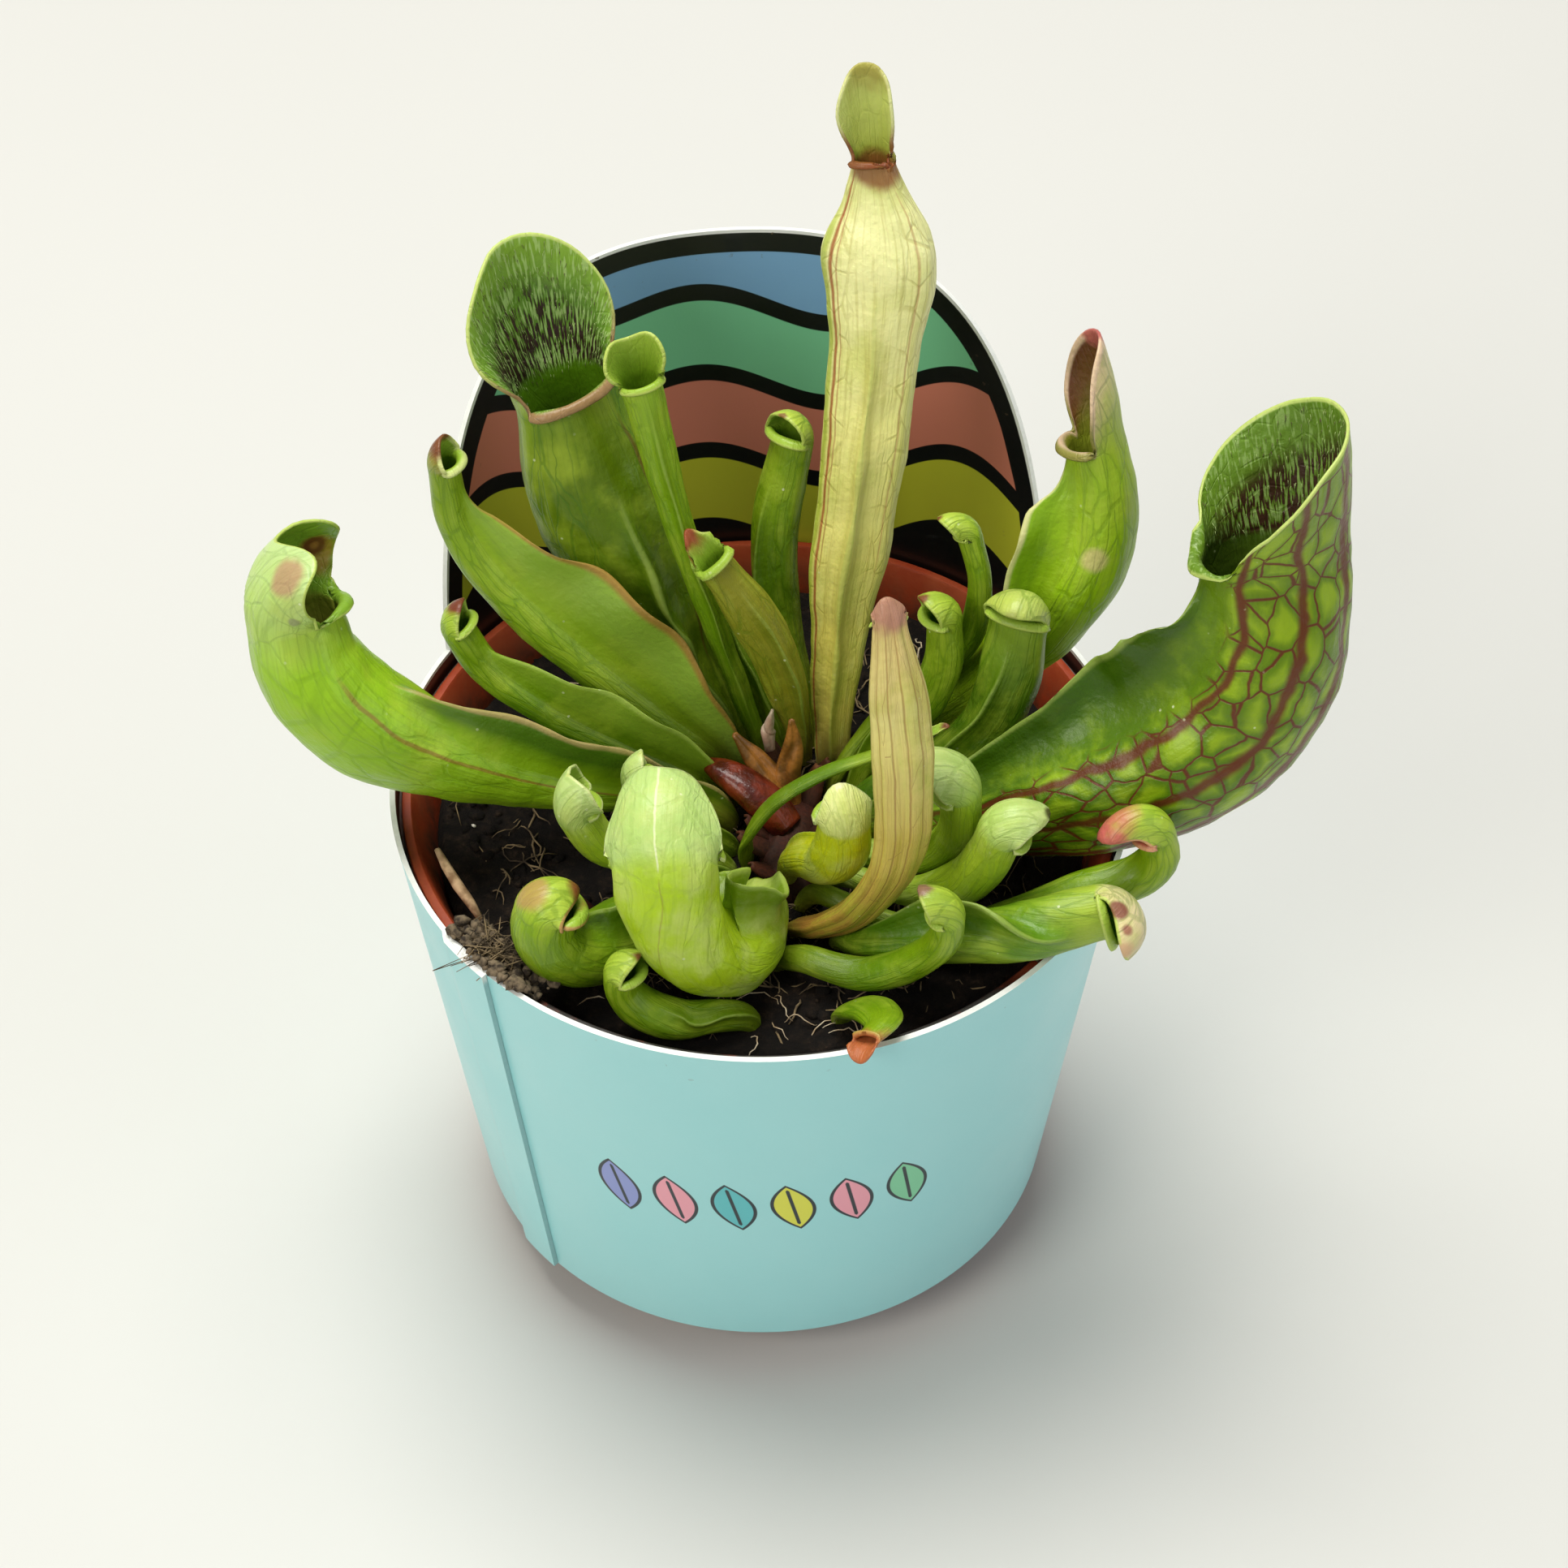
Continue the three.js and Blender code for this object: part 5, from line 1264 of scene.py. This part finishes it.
         [-20, -16.4, 11.6], [-22.8, -16, 16.6]], [[0.9, 0.4, 0.5]], [1.1, 1.8, 2.5, 3, 3], 0.85,
         [1.4, 0.5, 0.4], [10, 8, 100, 1.4, 2]),
    leaf("young_pitcher_left_small", "small", [-4.2, -7], [[-8, -8.4, 5], [-12.4, -9, 9],
         [-15.4, -8.6, 14.4]], [[0.9, 0.1, 0.4]], [1, 1.5, 1.9, 2.2], 0.9, [1, 0.5, 0.4],
         [7, 4.8, 100, 1.3, 0]),
    leaf("leaf_front_strip", "small", [10.4, -35.4], [[11.4, -37.2, 4], [13.6, -40, 7], [14.6, -43.6, 9],
         [12.8, -46.6, 9.6]], [[-0.2, 0.5, 0.85]], [1, 2.2, 2.8, 2.7, 1.8], 0.4, [0, 0.5, 0.4],
         [3, 2.6, -40, 1.2, 0]),
    leaf("leaf_centre_arc", "small", [-1.8, -9.6], [[-1.8, -10.6, 6], [1.6, -9, 11], [8, -7, 14.4],
         [15, -6, 17], [21, -5, 19.4]], [[-0.3, 0.2, 0.9]], [0.9, 1.2, 1.4, 1.4, 1.2, 0.8], 0.5,
         [0, 0.5, 0.4], [3, 1.2, 10, 1.2, 0]),
]

# %% [markdown]
# Each leaf's own colours: the tall yellow one is dying back, the big one on the right is netted with maroon,
# the one at the front is pale mint, and the young ones have reddish or dry tips.

# %% Looks leaf by leaf
# The inner ramps below darken down into the tube as painted shade, and the outer ramps darken the low tube
# partly as painted shade.
YELLOW = {
    "outer": {0: "#9c8a3c", 0.1: "#dccf62", 0.3: "#f6f298", 0.45: "#fcfcb4", 0.56: "#c9d46a", 1: "#b4c85a"},
    "inner": {0.3: "#5c5c18", 0.5: "#8fa02c", 0.6: "#b5c24e", 1: "#cfd87a"}, "patch": ("#c4d050", 0.4, 11),
    "fibre": ("#b0a03c", 0.3), "vein": ("#a89c3c", 0.35), "net": (14, 20, 0.05), "ribs": (12, 0.04),
    "wing": ("#b9b24a", 0.7), "rim": ("#e6eaa4", 0.4), "tip": ("#a9a24a", 4), "rough": 0.42,
    "lip": ("#8f5a30", 1.6), "cell": ("#e6e690", 0.3),
}
PALE = {
    "outer": {0: "#8a7335", 0.1: "#829a26", 0.35: "#95b41e", 0.48: "#a6c22e", 0.56: "#b2cf6a", 1: "#c0d68a"},
    "patch": ("#cfdc84", 0.45, 6), "fibre": ("#7a9a1c", 0.1), "vein": ("#86a53a", 0.3),
    "rim": ("#d0dc92", 0.25), "tip": ("#a8703a", 1.6),
}
LOOKS = {
    "pitcher_tall_hooded": {"outer": {0: "#8a7a3c", 0.06: "#647c0a", 0.2: "#587804", 0.42: "#5e7a04",
        0.5: "#7c9c18", 1: "#8fb030"}, "inner": {0.4: "#38580a", 0.5: "#56800e", 0.545: "#5c8812",
        0.56: "#587f22", 0.8: "#648f2a", 1: "#8fb73c"},
        "streaks": ("#35181e", 0.97, 0.555, 0.9, 0.36, 0.13, 0.6), "rim": ("#cbdc7c", 0.4),
        "tip": ("#a9c955", 0.5), "lip": ("#9a7a52", 1.1), "seams": [(0.1, 0.012, "#6b4220", 0.6, 0.16, 0.46)],
        "ribs": (11, 0.03), "net": (16, 9, 0.03), "vein": ("#3f7010", 0.45)},
    "pitcher_slim_lidded": {"outer": {0: "#6f7a1e", 0.1: "#6f9a10", 0.4: "#84ac14", 0.55: "#9abf24",
        1: "#b2cc3c"}, "tip": ("#c9d86a", 0.8)},
    "leaf_slim_back": {"tip": ("#c08a6a", 3.5)},
    "pitcher_back_hooked": {"tip": ("#8a6a3a", 1.2)},
    "pitcher_olive_pointed": {"outer": {0: "#6f6a2a", 0.2: "#8a8a1e", 0.5: "#98962a", 1: "#a8662a"},
        "tip": ("#a0522c", 4), "patch": ("#a8a43a", 0.4, 6)},
    "pitcher_tall_yellow": {**YELLOW, "seams": [(0.8, 0.035, "#a3b82a", 0.7, 0.05, 0.47),
        (0.845, 0.014, "#a8542c", 0.85, 0.03, 0.5), (0.875, 0.006, "#b2764a", 0.6, 0.2, 0.49),
        (0.13, 0.007, "#b2764a", 0.5, 0.2, 0.48)], "spots": [(15, 33.5, 78.5, 3.6, "#8f4a26", 0.85)]},
    "pitcher_left_winged": {"outer": {0: "#7b7433", 0.1: "#84a01c", 0.35: "#8eb41e", 0.5: "#88a81c",
        1: "#9c6a34"}, "wing": ("#96b84a", 0.7), "rim": ("#d5dd90", 0.6), "tip": ("#7a4a2a", 4),
        "keel": ("#a8743c", 0.9)},
    "pitcher_left_hooked": {"wing": ("#8fae38", 0.6), "tip": ("#7a3f2a", 2.4)},
    "pitcher_left_arching": {"outer": {0: "#8a7335", 0.08: "#7c9a10", 0.3: "#86b014", 0.46: "#9ac824",
        0.54: "#b0d25c", 1: "#c2dc94"}, "inner": {0.3: "#54601a", 0.46: "#8a8a34", 0.53: "#9aa63c",
        0.6: "#86ac34", 1: "#86b030"}, "vein": ("#4f7a14", 0.16), "cell": ("#b9cf45", 0.08),
        "fibre": ("#4f7010", 0.2), "spots": [(-57.4, -4.4, 46.6, 3.4, "#b4806a", 0.75),
        (-56.6, -6.8, 41.7, 1, "#8a8a6a", 0.7), (-54.8, 7.2, 39.4, 3, "#b88a34", 0.8),
        (-55.2, 7.5, 40.4, 1.9, "#6e341e", 0.9), (-55.2, 7.5, 40.4, 0.9, "#b07a3c", 0.8)],
        "wing": ("#2c5a14", 0.85), "keel": ("#b9a06a", 0.9), "tip": ("#b9c96a", 0.5), "ribs": (5, 0.02),
        "seams": [(0.13, 0.01, "#8a4a26", 0.7, 0.06, 0.44), (0.87, 0.01, "#8a4a26", 0.6, 0.06, 0.44)]},
    "pitcher_right_upright": {"outer": {0: "#7b7433", 0.1: "#7ea00c", 0.4: "#9cc614", 0.52: "#9cbc30",
        0.7: "#b0c05a", 1: "#e2c8a0"}, "inner": {0.36: "#54621a", 0.5: "#8f9a2a", 0.66: "#7a7a24",
        0.82: "#6e4a22", 1: "#5e2f1c"}, "tip": ("#b8645c", 3.2), "wing": ("#5f8f1a", 0.5),
        "rim": ("#e2c4a4", 1.2), "lip": ("#8f8a44", 0.7), "keel": ("#e0d8a0", 0.9), "vein": ("#577d12", 0.25),
        "spots": [(42, 7.2, 37.8, 2.2, "#d8c88a", 0.75)]},
    "pitcher_big_veined": {"outer": {0: "#6f6a2a", 0.08: "#4a6a08", 0.3: "#527606", 0.5: "#66860c",
        1: "#7a9a18"}, "inner": {0.4: "#2c380c", 0.5: "#445c14", 0.62: "#5c7a20", 1: "#6c9228"},
        "patch": ("#9cba14", 0.4, 5), "vein": ("#642214", 0.92), "net": (17, 21, 0.05), "ribs": (8, 0.14),
        "cell": ("#9cba1c", 0.7), "belt": (0.075, 0.11),
        "streaks": ("#3c1a18", 0.95, 0.53, 0.94, 0.4, 0.13, 0.32), "wing": ("#365a06", 0.95),
        "rim": ("#c6d878", 0.5), "tip": ("#a9c24a", 0.5)},
    "pitcher_centre_amber": {"outer": {0: "#7a5426", 0.1: "#a87c34", 0.24: "#ccb650", 0.4: "#e6dc8a",
        0.52: "#cfb476", 1: "#b58a6a"}, "patch": ("#a8ac2c", 0.5, 7), "fibre": ("#b08c48", 0.35),
        "tip": ("#b08068", 4), "wing": ("#b0a24a", 0.6), "vein": ("#a0763c", 0.6), "net": (8, 6, 0.004),
        "ribs": (12, 0.1), "seams": [(0.9, 0.04, "#a8744a", 0.5, 0.05, 0.5)]},
    "young_pitcher_front_round": {"outer": {0: "#8a8a35", 0.2: "#a8ac14", 0.5: "#c6d012", 0.56: "#d4de7c",
        1: "#e6ec9c"}, "patch": ("#cfdc84", 0.45, 6), "fibre": ("#7a9a1c", 0.1), "vein": ("#86a53a", 0.2),
        "rim": ("#d0dc92", 0.25), "tip": ("#e6e8b0", 0.8)},
    "young_pitcher_mitten": {**PALE, "tip": ("#8a8a4a", 1.4)},
    "young_pitcher_pale_beak": {**PALE, "tip": ("#5a5a30", 1.2)},
    "young_pitcher_red_tip": {"tip": ("#c0645a", 5), "rim": ("#d9a07a", 0.4),
        "spots": [(43.6, -22.2, 21.4, 4.4, "#c4605a", 0.75), (43.9, -23.6, 21.8, 1.6, "#7a1c20", 0.85),
        (42.6, -21.6, 20.2, 1, "#8a2a24", 0.8)], "inner": {0.3: "#33300c", 0.5: "#7a4a2a", 1: "#c96a52"}},
    "pitcher_right_broad": {"outer": {0: "#7b7433", 0.1: "#4c7406", 0.4: "#5e8c0a", 0.5: "#9cba40",
        0.6: "#d5cf9a", 1: "#e2cfa0"}, "tip": ("#d9b48a", 2),
        "spots": [(43.5, -33.5, 18, 1.5, "#7d2f34", 0.85), (44.2, -35.4, 16.2, 1, "#8f4038", 0.8)]},
    "young_pitcher_front_arched": {"tip": ("#8a6a52", 2)},
    "pitcher_front_pale": {"outer": {0: "#8a7335", 0.1: "#829a26", 0.35: "#a8c816", 0.5: "#b2d41e",
        0.6: "#b4d636", 0.68: "#b2d272", 1: "#bcd884"}, "patch": ("#cfdc84", 0.45, 6),
        "fibre": ("#7a9a1c", 0.1), "vein": ("#86a53a", 0.15), "rim": ("#d0dc92", 0.25),
        "tip": ("#c6d79a", 0.6), "seams": [(0.5, 0.004, "#e2ebb8", 0.8, 0.6, 1),
        (0.5, 0.004, "#8f7a34", 0.4, 0.3, 0.56)], "ribs": (5, 0.02), "cell": ("#c9d85a", 0.1)},
    "pitcher_front_curled": {"tip": ("#8a4f2c", 2.6), "spots": [(-28.2, -30.3, 17.7, 3, "#b8875a", 0.7)],
        "rim": ("#b88a58", 0.35)},
    "young_pitcher_left_lobed": {**PALE, "tip": ("#c2cf7a", 0.8)},
    "young_pitcher_left_small": {**PALE, "tip": ("#c2cf7a", 0.8)},
    "leaf_front_strip": {"tip": ("#b8683c", 6)},
    "pitcher_right_dark": {"outer": {0: "#7b7433", 0.1: "#426608", 0.4: "#466a06", 0.5: "#88a824",
        0.56: "#a9bf55", 1: "#b9c865"}, "tip": ("#a9b45a", 1)},
}
plain = leaf_material("waxy_leaf_green", {})
grown = {}
for one in LEAVES:
    name = one["name"]
    piece, grown[name] = leaf_piece(one)
    finish = leaf_material("waxy_" + name, LOOKS[name]) if name in LOOKS else plain
    finish_piece(piece, name + "_grown", finish, [name])

# %% [markdown]
# ## Hairs in the hoods
#
# The inner face of a hood is covered in stiff hairs that point down to the mouth and let insects walk only
# one way. At this size they show as fine pale and dark strokes with a little height, so each is a slim
# pyramid of four faces that leans off the surface, hundreds of them joined to one piece per hood. The finer
# ones are drawn in the leaf's material.

# %% Hairs
def hood_hairs(name, count, length, seed):
    """Slim pyramids on the inner face of a hood, from the rows of its edge."""
    edge = grown[name]
    inwards = -normals(edge)
    rows, columns = edge.shape[:2]
    draw = random.Random(seed)
    points, faces = [], []
    while len(faces) < 4 * count:
        i, j = draw.randint(2, rows - 2), int(draw.gauss(columns / 2, columns / 7)) % columns
        if np.linalg.norm(edge[i, j] - edge[0, j]) < 1.2:
            continue
        slide = draw.random()
        root = mix(edge[i, j], edge[i - 1, j], slide) + inwards[i, j] * (WALL - 0.03)
        root = mix(root, root + edge[i, (j + 1) % columns] - edge[i, j], draw.random())
        down = unit(edge[i - 1, j] - edge[i, j])
        aside = unit(np.cross(down, inwards[i, j]))
        aim = unit(down + inwards[i, j] * draw.uniform(0.15, 0.5) + aside * draw.gauss(0, 0.15))
        flank = unit(np.cross(aim, inwards[i, j])) * 0.04
        tall = draw.uniform(0.6, 1.0) * length
        start = len(points)
        points += [root - flank, root + flank, root + inwards[i, j] * 0.07, root + aim * tall]
        faces += [[start + corner for corner in side]
                  for side in ((0, 2, 1), (0, 1, 3), (1, 2, 3), (2, 0, 3))]
    return mesh_piece(name + "_hairs", points, faces)


stiff = Finish("hood_hair", Roughness=0.5)
tufts = stiff.noise(3, 2.0)
colour = tufts.fade(0.42, 0.56).blend("#5a3a34", "#b9cf84")
stiff.done(colour, 0.2, 0.1, tufts, tufts.fade(0.3, 0.7, 0.58, 0.42))
# A hood's hairs: their leaf, number, length and seed
HAIRS = [("pitcher_tall_hooded", 480, 1.1, 31), ("pitcher_big_veined", 420, 1.3, 32)]
for name, count, length, seed in HAIRS:
    hairs = hood_hairs(name, count, length, seed)
    finish_piece(hairs, name + "_hairs", stiff.material)

# %% [markdown]
# ## Sizes
#
# Both boxes, the CAD model's and the dressed model's, are printed. The dressed model has to stay as
# large as the CAD model.

# %% Sizes and the last line
for name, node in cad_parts.items():
    if not node.hide_render:
        print("CAD node still shown:", name)
sizes = {"cad": [list(corner) for corner in cad_bounds], "dressed": [list(corner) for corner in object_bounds()]}
print(sizes)
